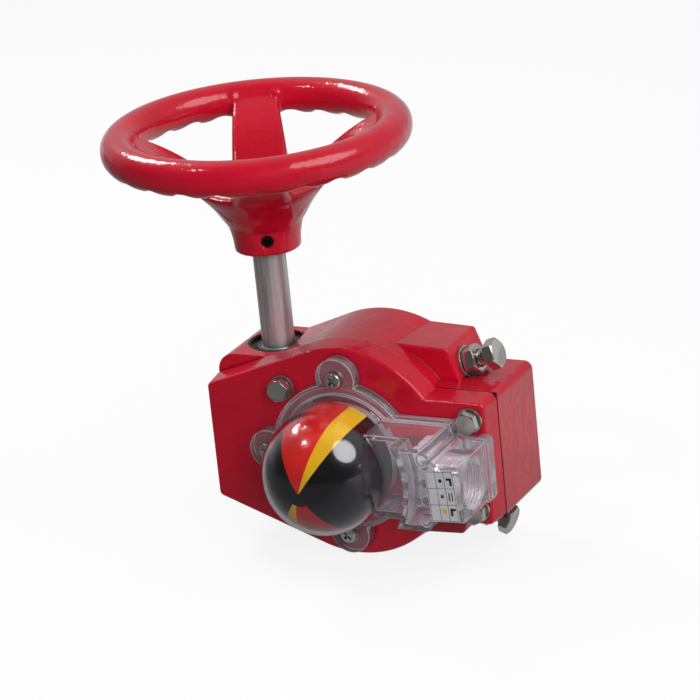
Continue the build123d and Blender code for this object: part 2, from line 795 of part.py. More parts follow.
# ---------------------------------------------------------------- handwheel
with BuildPart() as spoke:
    with BuildSketch(worm_section()):
        hub_end_z = wheel_hub_top - spoke_drop
        spoke_foot = (spoke_start, hub_end_z)
        spoke_middle = ((spoke_start + spoke_reach) / 2, hub_end_z + spoke_rise / 2 + spoke_arch)
        spoke_end = (spoke_reach, hub_end_z + spoke_rise)
        below = (0, spoke_thickness)
        with BuildLine():
            top = ThreePointArc(spoke_foot, spoke_middle, spoke_end)
            underside = ThreePointArc(top @ 0 - below, top @ 0.5 - below, top @ 1 - below)
            Line(top @ 0, underside @ 0)
            Line(top @ 1, underside @ 1)
        make_face()
    extrude(amount=spoke_width_hub, both=True)
    with BuildSketch(worm_level(0)):
        with BuildLine():
            Polyline(
                (spoke_start, spoke_width_hub / 2),
                (spoke_reach, spoke_width_rim / 2),
                (spoke_reach, -spoke_width_rim / 2),
                (spoke_start, -spoke_width_hub / 2),
                close=True,
            )
        make_face()
    extrude(amount=2 * wheel_height, mode=Mode.INTERSECT)
    along = spoke.edges().filter_by(lambda edge: edge.length > spoke_reach - spoke_start - 1)
    fillet(along, spoke_edge)

with BuildPart() as handwheel:
    with BuildSketch(worm_section()):
        with Locations((wheel_radius, wheel_height)):
            SlotOverall(2 * rim_radius, 2 * rim_radius - parting_band, rotation=90)
    revolve(axis=worm_axis)
    # finger scallops under the rim, between the spokes
    for index in range(spoke_count * scallops_per_gap):
        gap, place = divmod(index, scallops_per_gap)
        turn = spoke_angle + (gap + 0.5) * 360 / spoke_count
        turn += (place - (scallops_per_gap - 1) / 2) * scallop_pitch
        radial = Vector(cos(radians(turn)), sin(radians(turn)), 0)
        scallop_z = wheel_height - rim_radius - scallop_radius + scallop_depth
        start = Vector(worm_x, gear_y, scallop_z) + radial * (wheel_radius - 1.5 * rim_radius)
        with BuildSketch(Plane(origin=start, x_dir=(0, 0, 1), z_dir=radial)):
            Circle(scallop_radius)
        extrude(amount=3 * rim_radius, mode=Mode.SUBTRACT)
    for index in range(spoke_count):
        add(spoke.part.rotate(worm_axis, spoke_angle + index * 360 / spoke_count))
    # flared hub
    with BuildSketch(worm_section()):
        flare_top = hub_bottom + wheel_hub_flare_height
        with BuildLine():
            Line((0, hub_bottom), (wheel_hub_radius, hub_bottom))
            ThreePointArc(
                (wheel_hub_radius, hub_bottom),
                (wheel_hub_radius + wheel_hub_waist, hub_bottom + wheel_hub_flare_height / 2),
                (wheel_hub_top_radius, flare_top),
            )
            Polyline(
                (wheel_hub_top_radius, flare_top),
                (wheel_hub_top_radius, flare_top + wheel_hub_rim_height - wheel_hub_crown),
                (wheel_hub_top_radius - 6, wheel_hub_top),
                (0, wheel_hub_top),
                (0, hub_bottom),
            )
        make_face()
    revolve(axis=worm_axis)
    # bore, flat for the set screw and its tapped hole
    with BuildSketch(worm_level(hub_bottom)):
        Circle(shaft_radius + seat_clearance)
    extrude(amount=wheel_hub_top - hub_bottom, mode=Mode.SUBTRACT)
    flat_plane = worm_section(spoke_angle - 90)
    with BuildSketch(flat_plane):
        with Locations((flat_distance + flat_cut / 2, hub_bottom + flat_height / 2)):
            Rectangle(flat_cut, flat_height)
    extrude(amount=wheel_hub_radius, both=True, mode=Mode.SUBTRACT)
    screw_turn = radians(spoke_angle - 90)
    screw_out = Vector(cos(screw_turn), sin(screw_turn), 0)
    screw_level = Vector(worm_x, gear_y, hub_bottom + set_screw_height)
    screw_foot = screw_level + screw_out * (shaft_radius + seat_clearance)
    with BuildSketch(Plane(origin=screw_foot, x_dir=(0, 0, 1), z_dir=screw_out)):
        Circle(set_screw_radius + seat_clearance)
    extrude(amount=wheel_hub_radius, mode=Mode.SUBTRACT)

with BuildPart() as handwheel_set_screw:
    screw_plane = Plane(origin=screw_foot, x_dir=(0, 0, 1), z_dir=screw_out)
    with BuildSketch(screw_plane):
        Circle(set_screw_radius)
    extrude(amount=set_screw_length)
    with BuildSketch(screw_plane.offset(set_screw_length)):
        RegularPolygon(hex_socket_flats / 2, 6, major_radius=False)
    extrude(amount=-set_screw_length * 0.5, mode=Mode.SUBTRACT)

# ---------------------------------------------------------------- indicator spindle, ball and flags
spindle_back = -hub_front + tongue_depth - seat_clearance
with BuildPart() as indicator_spindle:
    with BuildSketch(front_plane(spindle_back)):
        Rectangle(tongue_length, tongue_width)
        Circle(spindle_radius + 2.4, mode=Mode.INTERSECT)
    extrude(amount=tongue_depth)
    with BuildSketch(front_plane(-hub_front - seat_clearance)):
        Circle(spindle_radius)
    extrude(amount=-face_y - hub_front + cam_floor - seat_clearance)
    with BuildSketch(front_plane(-hub_front - 2)):
        Circle(spindle_radius + 1)
        Circle(spindle_radius - seal_groove_depth, mode=Mode.SUBTRACT)
    extrude(amount=seal_width, mode=Mode.SUBTRACT)
    with BuildSketch(front_plane(face_y - cam_floor)):
        Circle(spindle_core_radius)
    extrude(amount=dome_centre + spindle_end - cam_floor - 4)
    chamfer(indicator_spindle.faces().sort_by(Axis.Y)[0].edges(), 0.8)

spindle_seal = ring(
    front_plane(-hub_front - 2 - seat_clearance),
    spindle_radius - seal_groove_depth + seat_clearance,
    spindle_radius,
    seal_width - 2 * seat_clearance,
)


def shell_profile(outer, inner):
    """Half section of the ball's wall: a round front and a straight skirt."""
    with BuildSketch() as profile:
        skirt_length = dome_centre - ball_skirt
        for size, mode in ((outer, Mode.ADD), (inner, Mode.SUBTRACT)):
            with Locations((0, dome_y)):
                Circle(size, mode=mode)
            with Locations((size / 2, dome_y + skirt_length / 2)):
                Rectangle(size, skirt_length, mode=mode)
        with Locations((-outer, dome_y)):
            Rectangle(2 * outer, 4 * outer, mode=Mode.SUBTRACT)
        with Locations((outer, dome_y + skirt_length + outer)):
            Rectangle(2 * outer, 2 * outer, mode=Mode.SUBTRACT)
    return profile.sketch


def flag_profile(blank_radius, outer):
    """Section of a flag out to a radius, from blank_radius off the pole to the skirt."""
    with BuildSketch() as profile:
        add(shell_profile(outer, ball_radius - flag_thickness))
        with Locations((blank_radius / 2, dome_y - ball_radius)):
            Rectangle(blank_radius, ball_radius, mode=Mode.SUBTRACT)
    return profile.sketch


def flag_pair(start, arc, outer):
    """Two opposite flags that begin at an angle and span an arc."""
    with BuildPart() as pair:
        for turn, blank in ((0, flag_tip_radius), (180, flag_blank_radius)):
            with BuildSketch(stem_section(start + arc + turn)):
                add(flag_profile(blank, outer))
            revolve(axis=Axis.Y, revolution_arc=arc)
    return pair.part


flags_yellow = flag_pair(flag_start, yellow_arc, ball_radius)
flags_red = flag_pair(flag_start + yellow_arc, red_arc, ball_radius)
flag_pockets = flag_pair(flag_start, yellow_arc + red_arc, ball_radius + 1)

with BuildPart() as indicator_ball:
    with BuildSketch(stem_section()):
        add(shell_profile(ball_radius, ball_radius - ball_wall))
    revolve(axis=Axis.Y)
    with BuildSketch(front_plane(face_y - ball_hub_bottom)):
        Circle(ball_hub_radius)
    extrude(amount=dome_centre + ball_radius - ball_wall / 2 - ball_hub_bottom - 1.5)
    with BuildSketch(front_plane(face_y - ball_hub_bottom)):
        Circle(spindle_core_radius + seat_clearance)
    extrude(amount=dome_centre + spindle_end - ball_hub_bottom, mode=Mode.SUBTRACT)
    add(flag_pockets, mode=Mode.SUBTRACT)

with BuildPart() as switch_cam:
    with BuildSketch(front_plane(face_y - cam_floor)):
        Circle(cam_base_radius)
        with BuildLine():
            lobe = CenterArc((0, 0), cam_lobe_radius, -cam_lobe_arc / 2, cam_lobe_arc)
            Line((0, 0), lobe @ 0)
            Line((0, 0), lobe @ 1)
        make_face()
        Circle(spindle_core_radius + seat_clearance, mode=Mode.SUBTRACT)
    extrude(amount=cam_height)

# ---------------------------------------------------------------- clear cover
def box_outline(inset):
    """Outline of the terminal box, moved inwards by an inset."""
    half = box_half - inset
    neck = box_neck_half - inset
    step = box_step_sum - inset * (1 + tan(radians(22.5)))
    right = box_right - inset
    with BuildSketch() as outline:
        with BuildLine():
            Polyline(
                (box_inner_arc / 2, half),
                (step - half, half),
                (step - neck, neck),
                (right, neck),
                (right, -neck),
                (step - neck, -neck),
                (step - half, -half),
                (box_inner_arc / 2, -half),
                close=True,
            )
        make_face()
        Circle(box_inner_arc + inset, mode=Mode.SUBTRACT)
    return outline.sketch


boss_face_x = box_right - conduit_length
saddle_reach = box_inner_arc + box_wall + 1.0


def box_cavity():
    """Outline of the hollow under the terminal box, up to the conduit boss."""
    with BuildSketch() as outline:
        add(box_outline(box_wall))
        with Locations((boss_face_x + box_right / 2, 0)):
            Rectangle(box_right, 4 * box_half, mode=Mode.SUBTRACT)
    return outline.sketch


def cover_opening():
    """Open back of the clear cover: dome, saddle and box joined."""
    with BuildSketch() as outline:
        Circle(dome_radius - dome_wall)
        with Locations((saddle_reach / 2, 0)):
            Rectangle(saddle_reach, 2 * (box_half - box_wall))
        add(box_cavity())
    return outline.sketch


with BuildPart() as indicator_cover:
    # flange with its ears and the base of the box
    with BuildSketch(front_plane(face_y)) as flange:
        Circle(flange_radius)
        with PolarLocations(ear_circle_radius, 3, start_angle=90, angular_range=270):
            Circle(ear_radius)
        with Locations((base_step / 2, 0)):
            Rectangle(base_step, 2 * base_half)
        with Locations((base_right / 2, 0)):
            Rectangle(base_right, 2 * base_right_half)
        fillet(flange.vertices().group_by(Axis.X)[-1], corner_radius * 0.7)
        with Locations(cover_bolt_places[2], cover_bolt_places[3]):
            Circle(base_notch_radius, mode=Mode.SUBTRACT)
    extrude(amount=flange_thickness)
    with BuildSketch(front_plane(flange_y)):
        Circle(dome_radius + flange_groove_start + flange_groove_width)
        Circle(dome_radius + flange_groove_start, mode=Mode.SUBTRACT)
        with Locations((box_right / 2, 0)):
            Rectangle(box_right, 2 * box_half + 2, mode=Mode.SUBTRACT)
    extrude(amount=-flange_groove_depth, mode=Mode.SUBTRACT)
    # saddle and terminal box
    with BuildSketch(front_plane(face_y)):
        with Locations((box_inner_arc / 2 + 1, 0)):
            Rectangle(box_inner_arc + 2, 2 * box_half)
    extrude(amount=saddle_height)
    with BuildSketch(front_plane(face_y)):
        add(box_outline(0))
    extrude(amount=box_height)
    box_front = indicator_cover.faces().filter_by(Axis.Y).sort_by(Axis.Y)[0]
    fillet(box_front.edges(), box_edge_radius)
    # dome outside
    with BuildSketch(stem_section()):
        with Locations((0, dome_y)):
            Circle(dome_radius)
        with Locations((dome_radius / 2, dome_y + dome_centre / 2)):
            Rectangle(dome_radius, dome_centre)
        with Locations((-dome_radius, dome_y)):
            Rectangle(2 * dome_radius, 4 * dome_radius, mode=Mode.SUBTRACT)
        with Locations((dome_radius, face_y + dome_radius)):
            Rectangle(2 * dome_radius, 2 * dome_radius, mode=Mode.SUBTRACT)
    revolve(axis=Axis.Y)
    # hollows: dome, saddle, box
    dome_inside = dome_radius - dome_wall
    with BuildSketch(stem_section()):
        with Locations((0, dome_y)):
            Circle(dome_inside)
        with Locations((dome_inside / 2, dome_y + dome_centre / 2)):
            Rectangle(dome_inside, dome_centre)
        with Locations((-dome_radius, dome_y)):
            Rectangle(2 * dome_radius, 4 * dome_radius, mode=Mode.SUBTRACT)
    revolve(axis=Axis.Y, mode=Mode.SUBTRACT)
    with BuildSketch(front_plane(face_y)):
        with Locations((saddle_reach / 2, 0)):
            Rectangle(saddle_reach, 2 * (box_half - box_wall))
    extrude(amount=saddle_height - box_wall, mode=Mode.SUBTRACT)
    with BuildSketch(front_plane(face_y)):
        add(box_cavity())
    extrude(amount=box_height - box_wall, mode=Mode.SUBTRACT)
    # screw pillars in the corners of the box
    with BuildSketch(front_plane(face_y)):
        with Locations(*pillar_places):
            Circle(pillar_radius)
        add(box_outline(0), mode=Mode.INTERSECT)
    extrude(amount=box_height - box_wall)
    with BuildSketch(front_plane(face_y)):
        with Locations(*pillar_places):
            Circle(pillar_screw_radius + bolt_clearance)
    extrude(amount=box_height, mode=Mode.SUBTRACT)
    with BuildSketch(front_plane(face_y - pillar_floor)):
        with Locations(*pillar_places):
            Circle(pillar_screw_head_radius + bolt_clearance)
    extrude(amount=box_height, mode=Mode.SUBTRACT)
    # screw holes in the ears
    with BuildSketch(front_plane(face_y)):
        with PolarLocations(ear_circle_radius, 3, start_angle=90, angular_range=270):
            Circle(cover_screw_radius + bolt_clearance)
    extrude(amount=flange_thickness, mode=Mode.SUBTRACT)
    # conduit entry
    conduit_end = (box_right, face_y - conduit_height, 0)
    with BuildSketch(Plane(origin=conduit_end, x_dir=(0, 1, 0), z_dir=(1, 0, 0))):
        Circle(conduit_radius)
    extrude(amount=-conduit_length, mode=Mode.SUBTRACT)
    # groove for the seal cord round the opening
    with BuildSketch(front_plane(face_y)):
        add(offset(cover_opening(), box_seal_offset + box_seal_width, mode=Mode.PRIVATE))
        add(offset(cover_opening(), box_seal_offset, mode=Mode.PRIVATE), mode=Mode.SUBTRACT)
    extrude(amount=box_seal_depth, mode=Mode.SUBTRACT)
    split(bisect_by=front_plane(face_y - seat_clearance))

with BuildPart() as indicator_cover_seal:
    with BuildSketch(front_plane(face_y)):
        seal_outside = box_seal_offset + box_seal_width - seat_clearance
        add(offset(cover_opening(), seal_outside, mode=Mode.PRIVATE))
        inner_edge = offset(cover_opening(), box_seal_offset + seat_clearance, mode=Mode.PRIVATE)
        add(inner_edge, mode=Mode.SUBTRACT)
    extrude(amount=box_seal_depth - seat_clearance)

# ---------------------------------------------------------------- fasteners
with BuildPart() as cover_washers:
    for x, z in cover_bolt_places:
        seat = front_plane(face_y, x, z)
        add(ring(seat, cover_bolt_radius + bolt_clearance, cover_washer_radius, cover_washer_thickness))

with BuildPart() as cover_spring_washers:
    for x, z in cover_bolt_places:
        with BuildSketch(front_plane(face_y - cover_washer_thickness, x, z)):
            Circle(spring_washer_radius)
            Circle(cover_bolt_radius + bolt_clearance, mode=Mode.SUBTRACT)
            with Locations((0, spring_washer_radius)):
                Rectangle(0.8, 2 * spring_washer_radius - 2, rotation=20, mode=Mode.SUBTRACT)
        extrude(amount=spring_washer_thickness)

bolt_seat_y = face_y - cover_washer_thickness - spring_washer_thickness
bolt_length = joint_y - bolt_seat_y + cover_bolt_grip - 0.5
with BuildPart() as cover_bolts:
    for x, z in cover_bolt_places:
        seat = front_plane(bolt_seat_y, x, z)
        add(hex_bolt(seat, cover_bolt_flats, cover_bolt_head, cover_bolt_radius, bolt_length))

with BuildPart() as stop_washers:
    for side in (1, -1):
        seat = stop_plane(side, stop_face)
        add(ring(seat, stop_radius + bolt_clearance, stop_washer_radius, stop_washer_thickness))

nut_seat = stop_face + stop_washer_thickness
with BuildPart() as stop_lock_nuts:
    for side in (1, -1):
        add(hexagon(stop_plane(side, nut_seat), stop_flats, stop_nut_height, stop_radius + seat_clearance))

stop_head_seat = nut_seat + stop_nut_height + stop_thread_showing
stop_length = stop_head_seat - stop_contact - stop_end_gap
upper_stop_bolt = hex_bolt(stop_plane(1, stop_head_seat), stop_flats, stop_head, stop_radius, stop_length)
lower_stop_bolt = hex_bolt(stop_plane(-1, stop_head_seat), stop_flats, stop_head, stop_radius, stop_length)

ear_places = [(0, ear_circle_radius), (-ear_circle_radius, 0), (0, -ear_circle_radius)]
with BuildPart() as indicator_cover_washers:
    for x, z in ear_places:
        seat = front_plane(flange_y, x, z)
        add(ring(seat, cover_screw_radius + bolt_clearance, cover_screw_washer_radius, cover_screw_washer))

ear_screw_y = flange_y - cover_screw_washer
ear_screw_length = flange_thickness + cover_screw_washer + cover_screw_length - 0.5
pillar_screw_y = face_y - pillar_floor
with BuildPart() as indicator_cover_screws:
    for x, z in ear_places:
        seat = front_plane(ear_screw_y, x, z)
        add(pan_screw(seat, cover_screw_head_radius, cover_screw_head, cover_screw_radius, ear_screw_length))
    for x, z in pillar_places:
        seat = front_plane(pillar_screw_y, x, z)
        length = pillar_floor + cover_screw_length - 0.5
        add(pan_screw(seat, pillar_screw_head_radius, cover_screw_head, pillar_screw_radius, length))

# ---------------------------------------------------------------- supervisory switch
switch_middle_x = switch_left + switch_depth / 2
switch_y = face_y - switch_thickness / 2
plunger_start = (switch_left, face_y - switch_thickness / 2, 0)
plunger_plane = Plane(origin=plunger_start, x_dir=(0, 1, 0), z_dir=(-1, 0, 0))
with BuildPart() as supervisory_switch:
    with BuildSketch(front_plane(face_y)) as switch_body:
        with Locations((switch_middle_x, 0)):
            Rectangle(switch_depth, switch_length)
        fillet(switch_body.vertices(), 0.8)
        with Locations((switch_middle_x, 0)):
            with GridLocations(0, switch_screw_spacing, 1, 2):
                Circle(switch_screw_radius + 0.1, mode=Mode.SUBTRACT)
    extrude(amount=switch_thickness)
    with BuildSketch(plunger_plane):
        Circle(plunger_radius + running_clearance)
    extrude(amount=-plunger_travel - 2.5, mode=Mode.SUBTRACT)
    # solder tags
    with BuildSketch(front_plane(switch_y + 0.25)):
        with Locations((switch_left + switch_depth + 1.0, 0)):
            with GridLocations(0, switch_tag_pitch, 1, 3):
                Rectangle(2.0, 2.0)
    extrude(amount=0.5)

with BuildPart() as switch_plunger:
    with BuildSketch(plunger_plane.offset(-2.4)):
        Circle(plunger_radius)
    extrude(amount=plunger_reach + 2.4)
    fillet(switch_plunger.faces().sort_by(Axis.X)[0].edges(), 0.5)

with BuildPart() as switch_screws:
    for z in (-switch_screw_spacing / 2, switch_screw_spacing / 2):
        seat = front_plane(face_y - switch_thickness, switch_middle_x, z)
        length = switch_thickness + switch_screw_length - 0.3
        add(pan_screw(seat, switch_screw_head_radius, 1.2, switch_screw_radius, length))

# ---------------------------------------------------------------- terminal strip
with BuildPart() as terminal_block:
    width = terminal_right - terminal_left
    height = terminal_top - terminal_bottom
    middle = ((terminal_left + terminal_right) / 2, (terminal_top + terminal_bottom) / 2)
    with BuildSketch(front_plane(face_y)) as block:
        with Locations(middle):
            Rectangle(width, height)
        lower_right = block.vertices().sort_by(Axis.X)[-2:].sort_by(Axis.Y)[0]
        chamfer(lower_right, terminal_corner)
    extrude(amount=terminal_height - pole_height)
    # raised pole housings with valleys between them
    with BuildSketch(front_plane(face_y - terminal_height + pole_height)):
        for z in terminal_rows:
            for x in terminal_columns:
                with Locations((x, z)):
                    Circle(terminal_screw_radius + pole_wall)
    extrude(amount=pole_height)
    with BuildSketch(front_plane(face_y - terminal_height)):
        for z in terminal_rows:
            for x in terminal_columns:
                with Locations((x, z)):
                    Circle(terminal_screw_radius + 0.1)
    extrude(amount=-terminal_screw_depth - terminal_screw_sink, mode=Mode.SUBTRACT)
    # wire entries on the side facing the conduit and the switch
    entry_y = face_y - terminal_height + wire_entry_drop
    entry_plane = Plane(origin=(terminal_left, entry_y, 0), x_dir=(0, 1, 0), z_dir=(-1, 0, 0))
    with BuildSketch(entry_plane):
        for z in terminal_rows:
            with Locations((0, z)):
                Circle(wire_entry_radius)
    extrude(amount=-width, mode=Mode.SUBTRACT)

with BuildPart() as terminal_screws:
    for z in terminal_rows:
        for x in terminal_columns:
            head_y = face_y - terminal_height + terminal_screw_sink
            with BuildSketch(front_plane(head_y, x, z)):
                Circle(terminal_screw_radius)
            extrude(amount=-terminal_screw_depth)
            with BuildSketch(front_plane(head_y, x, z)):
                Rectangle(2 * terminal_screw_radius, 0.7, rotation=35)
            extrude(amount=-1.0, mode=Mode.SUBTRACT)

# ---------------------------------------------------------------- STEP files
pieces = {
    "gear_housing": gear_housing.part,
    "cover_gasket": cover_gasket.part,
    "front_cover": front_cover.part,
    "rear_hub_bush": rear_hub_bush,
    "front_hub_bush": front_hub_bush,
    "lower_worm_bush": lower_worm_bush,
    "worm_thrust_washer": worm_thrust_washer,
    "bearing_outer_ring": bearing_outer_ring.part,
    "bearing_balls": bearing_ball_set.part,
    "bearing_shield": bearing_shield,
    "bearing_circlip": bearing_circlip.part,
    "cover_bolts": cover_bolts.part,
    "cover_spring_washers": cover_spring_washers.part,
    "cover_washers": cover_washers.part,
    "upper_stop_bolt": upper_stop_bolt,
    "lower_stop_bolt": lower_stop_bolt,
    "stop_lock_nuts": stop_lock_nuts.part,
    "stop_washers": stop_washers.part,
    "indicator_cover": indicator_cover.part,
    "indicator_cover_seal": indicator_cover_seal.part,
    "indicator_cover_screws": indicator_cover_screws.part,
    "indicator_cover_washers": indicator_cover_washers.part,
    "supervisory_switch": supervisory_switch.part,
    "switch_screws": switch_screws.part,
    "terminal_block": terminal_block.part,
    "terminal_screws": terminal_screws.part,
    "worm_shaft": worm_with_thread.part,
    "bearing_inner_ring": bearing_inner_ring.part,
    "handwheel": handwheel.part,
    "handwheel_set_screw": handwheel_set_screw.part,
    "worm_gear_segment": worm_gear_segment.part,
    "stem_seal": stem_seal,
    "indicator_spindle": indicator_spindle.part,
    "spindle_seal": spindle_seal,
    "indicator_ball": indicator_ball.part,
    "indicator_flags_yellow": flags_yellow,
    "indicator_flags_red": flags_red,
    "switch_cam": switch_cam.part,
    "switch_plunger": switch_plunger.part,
}
for name, piece in pieces.items():
    piece.label = name
    export_step(piece, f"parts/{name}.step")
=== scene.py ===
"""Looks of a quarter-turn worm gear operator: enamelled castings, steel fasteners, clear indicator cover."""

import json
from math import cos, pi, radians, sin, tan

import bmesh
import bpy
from mathutils import Euler, Matrix, Vector


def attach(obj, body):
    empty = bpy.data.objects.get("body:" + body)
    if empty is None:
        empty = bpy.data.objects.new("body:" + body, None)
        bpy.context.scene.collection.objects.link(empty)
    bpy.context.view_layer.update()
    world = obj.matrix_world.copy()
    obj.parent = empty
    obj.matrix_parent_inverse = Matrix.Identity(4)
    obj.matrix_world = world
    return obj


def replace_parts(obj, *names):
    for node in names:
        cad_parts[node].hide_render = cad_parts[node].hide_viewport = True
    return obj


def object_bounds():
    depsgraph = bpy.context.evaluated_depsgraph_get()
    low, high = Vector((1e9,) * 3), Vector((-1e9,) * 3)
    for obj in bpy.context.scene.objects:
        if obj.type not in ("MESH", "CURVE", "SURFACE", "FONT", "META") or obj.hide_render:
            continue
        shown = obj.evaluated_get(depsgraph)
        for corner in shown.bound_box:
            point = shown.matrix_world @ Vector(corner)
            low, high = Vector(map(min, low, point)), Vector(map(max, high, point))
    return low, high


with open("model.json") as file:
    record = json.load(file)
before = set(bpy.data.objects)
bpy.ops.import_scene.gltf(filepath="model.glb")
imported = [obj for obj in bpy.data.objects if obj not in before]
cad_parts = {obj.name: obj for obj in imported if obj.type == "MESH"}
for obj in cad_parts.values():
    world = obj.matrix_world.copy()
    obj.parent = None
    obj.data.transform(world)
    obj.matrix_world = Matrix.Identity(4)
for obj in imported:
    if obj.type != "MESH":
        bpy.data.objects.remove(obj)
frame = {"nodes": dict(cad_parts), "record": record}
CAD_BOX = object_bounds()
nodes = frame["nodes"]
scene = bpy.context.scene
MM = 0.001

# Sizes that the dressing shares with the solids. The stem turns about the y axis.
GEAR_Y = -25.7 * MM
WORM_X = -50 * MM
FACE_Y = -60 * MM
DOME_RADIUS = 30 * MM
BOX_FRONT_Y = -95 * MM
BOX_RIGHT_X = 75 * MM
CONDUIT_Y = -80 * MM
CONDUIT_RADIUS = 12.2 * MM
CONDUIT_LENGTH = 13 * MM
HUB_BOTTOM = 88.2 * MM
WHEEL_Z = 144 * MM
WHEEL_RADIUS = 66 * MM
SPOKE_ANGLES = [28, 118, 208, 298]


# ---------------------------------------------------------------- materials
class NodeTree:
    """Shader nodes added and linked step by step."""

    def __init__(self, tree):
        self.tree = tree
        self.tree.nodes.clear()

    def add(self, kind, **settings):
        node = self.tree.nodes.new(kind)
        for key, value in settings.items():
            setattr(node, key, value)
        return node

    def link(self, source, target):
        self.tree.links.new(source, target)

    def span(self, value, low, high, to_low, to_high, **settings):
        """Maps low..high to to_low..to_high, and holds the ends outside that range."""
        node = self.add("ShaderNodeMapRange", **settings)
        for index, number in enumerate((low, high, to_low, to_high), 1):
            node.inputs[index].default_value = number
        self.link(value, node.inputs[0])
        return node.outputs[0]

    def math(self, operation, first, second):
        """first is an output of a node, second an output or a number."""
        node = self.add("ShaderNodeMath", operation=operation)
        self.link(first, node.inputs[0])
        if isinstance(second, (int, float)):
            node.inputs[1].default_value = second
        else:
            self.link(second, node.inputs[1])
        return node.outputs[0]

    def mixed(self, share, first, second):
        """The first shader where share is 0, the second where it is 1."""
        node = self.add("ShaderNodeMixShader")
        for index, source in enumerate((share, first, second)):
            self.link(source, node.inputs[index])
        return node.outputs[0]

    def mirror_share(self, rays):
        """1 for a ray that comes by gloss or glass and that no dull surface has scattered before."""
        either = self.math("MAXIMUM", rays["Is Glossy Ray"], rays["Is Transmission Ray"])
        unscattered = self.math("LESS_THAN", rays["Diffuse Depth"], 0.5)
        return self.math("MULTIPLY", either, unscattered)


class Shader(NodeTree):
    """A material whose patterns lie in the object's own coordinates."""

    def __init__(self, name):
        self.material = bpy.data.materials.new(name)
        self.material.use_nodes = True
        super().__init__(self.material.node_tree)
        self.output = self.add("ShaderNodeOutputMaterial")
        self.coordinates = self.add("ShaderNodeTexCoord").outputs["Object"]

    def principled(self, **inputs):
        shader = self.add("ShaderNodeBsdfPrincipled")
        for key, value in inputs.items():
            shader.inputs[key.replace("_", " ")].default_value = value
        self.link(shader.outputs[0], self.output.inputs[0])
        return shader

    def place(self, scale, rotation=(0, 0, 0)):
        """The coordinates scaled and turned, for streaks."""
        mapping = self.add("ShaderNodeMapping")
        mapping.inputs["Scale"].default_value = scale
        mapping.inputs["Rotation"].default_value = rotation
        self.link(self.coordinates, mapping.inputs["Vector"])
        return mapping.outputs[0]

    def noise(self, scale, detail=2.0, roughness=0.5, vector=None):
        node = self.add("ShaderNodeTexNoise")
        node.inputs["Scale"].default_value = scale
        node.inputs["Detail"].default_value = detail
        node.inputs["Roughness"].default_value = roughness
        self.link(vector or self.coordinates, node.inputs["Vector"])
        return node.outputs["Fac"]

    def spread(self, noise, low, high):
        """Maps the middle of a noise's values to low..high."""
        return self.span(noise, 0.3, 0.7, low, high)

    def ramp(self, value, stops):
        """Colours at positions from 0 to 1."""
        node = self.add("ShaderNodeValToRGB")
        elements = node.color_ramp.elements
        while len(elements) < len(stops):
            elements.new(0.5)
        for element, (position, colour) in zip(elements, stops):
            element.position = position
            element.color = (*colour, 1)
        self.link(value, node.inputs[0])
        return node.outputs[0]

    def rounded(self, radius, samples=4):
        """Normals turned over the edges, as paint and moulding leave them."""
        node = self.add("ShaderNodeBevel", samples=samples)
        node.inputs["Radius"].default_value = radius
        return node.outputs[0]

    def painted_shade(self, colour, distance, darkest):
        """Painted shade: colour darkened in narrow gaps, crevices and between parts, where shade falls."""
        gap = self.add("ShaderNodeAmbientOcclusion", samples=12)
        gap.inputs["Distance"].default_value = distance
        scaled = self.add("ShaderNodeVectorMath", operation="SCALE")
        self.link(colour, scaled.inputs[0])
        self.link(self.span(gap.outputs["AO"], 0.3, 0.9, darkest, 1.0), scaled.inputs["Scale"])
        return scaled.outputs[0]

    def bump(self, height, distance, strength, below=None):
        """Normals of a relief, on top of the normals below."""
        node = self.add("ShaderNodeBump")
        node.inputs["Strength"].default_value = strength
        node.inputs["Distance"].default_value = distance
        self.link(height, node.inputs["Height"])
        if below is not None:
            self.link(below, node.inputs["Normal"])
        return node.outputs[0]


def enamel():
    """Glossy red enamel sprayed over sand-cast iron."""
    s = Shader("red_enamel")
    shader = s.principled(Roughness=0.35, Coat_Weight=1.0, Coat_Roughness=0.04, Coat_IOR=1.45)
    shader.inputs["Specular IOR Level"].default_value = 0.12
    deep, bright = (0.60, 0.004, 0.022), (0.72, 0.006, 0.032)
    colour = s.ramp(s.noise(38, 4, 0.6), [(0.3, deep), (0.7, bright)])
    # Painted shade: the enamel's colour darkens in narrow gaps and corners.
    s.link(s.painted_shade(colour, 2.5 * MM, 0.45), shader.inputs["Base Color"])
    casting = s.bump(s.noise(160, 3, 0.55), 0.6 * MM, 0.6, s.rounded(0.9 * MM))
    s.link(casting, shader.inputs["Normal"])
    orange_peel = s.bump(s.noise(620), 0.05 * MM, 0.5, casting)
    s.link(orange_peel, shader.inputs["Coat Normal"])
    return s.material


def plated(name, colour=(0.68, 0.655, 0.61), rough=(0.1, 0.2), metallic=0.9):
    """Plated or ground steel with fine handling marks."""
    s = Shader(name)
    shader = s.principled(Metallic=metallic, Coat_Weight=0.4, Coat_Roughness=0.08)
    tarnished = tuple(part * 0.86 for part in colour)
    metal = s.ramp(s.noise(90, 3), [(0.35, tarnished), (0.62, colour)])
    # Painted shade: the steel's colour darkens in thread grooves and narrow gaps.
    s.link(s.painted_shade(metal, 1.2 * MM, 0.12), shader.inputs["Base Color"])
    s.link(s.spread(s.noise(260, 3), *rough), shader.inputs["Roughness"])
    scratches = s.noise(500, vector=s.place((1, 1, 0.15), (0.4, 0.8, 0.2)))
    s.link(s.bump(scratches, 0.02 * MM, 0.5, s.rounded(0.25 * MM)), shader.inputs["Normal"])
    return s.material


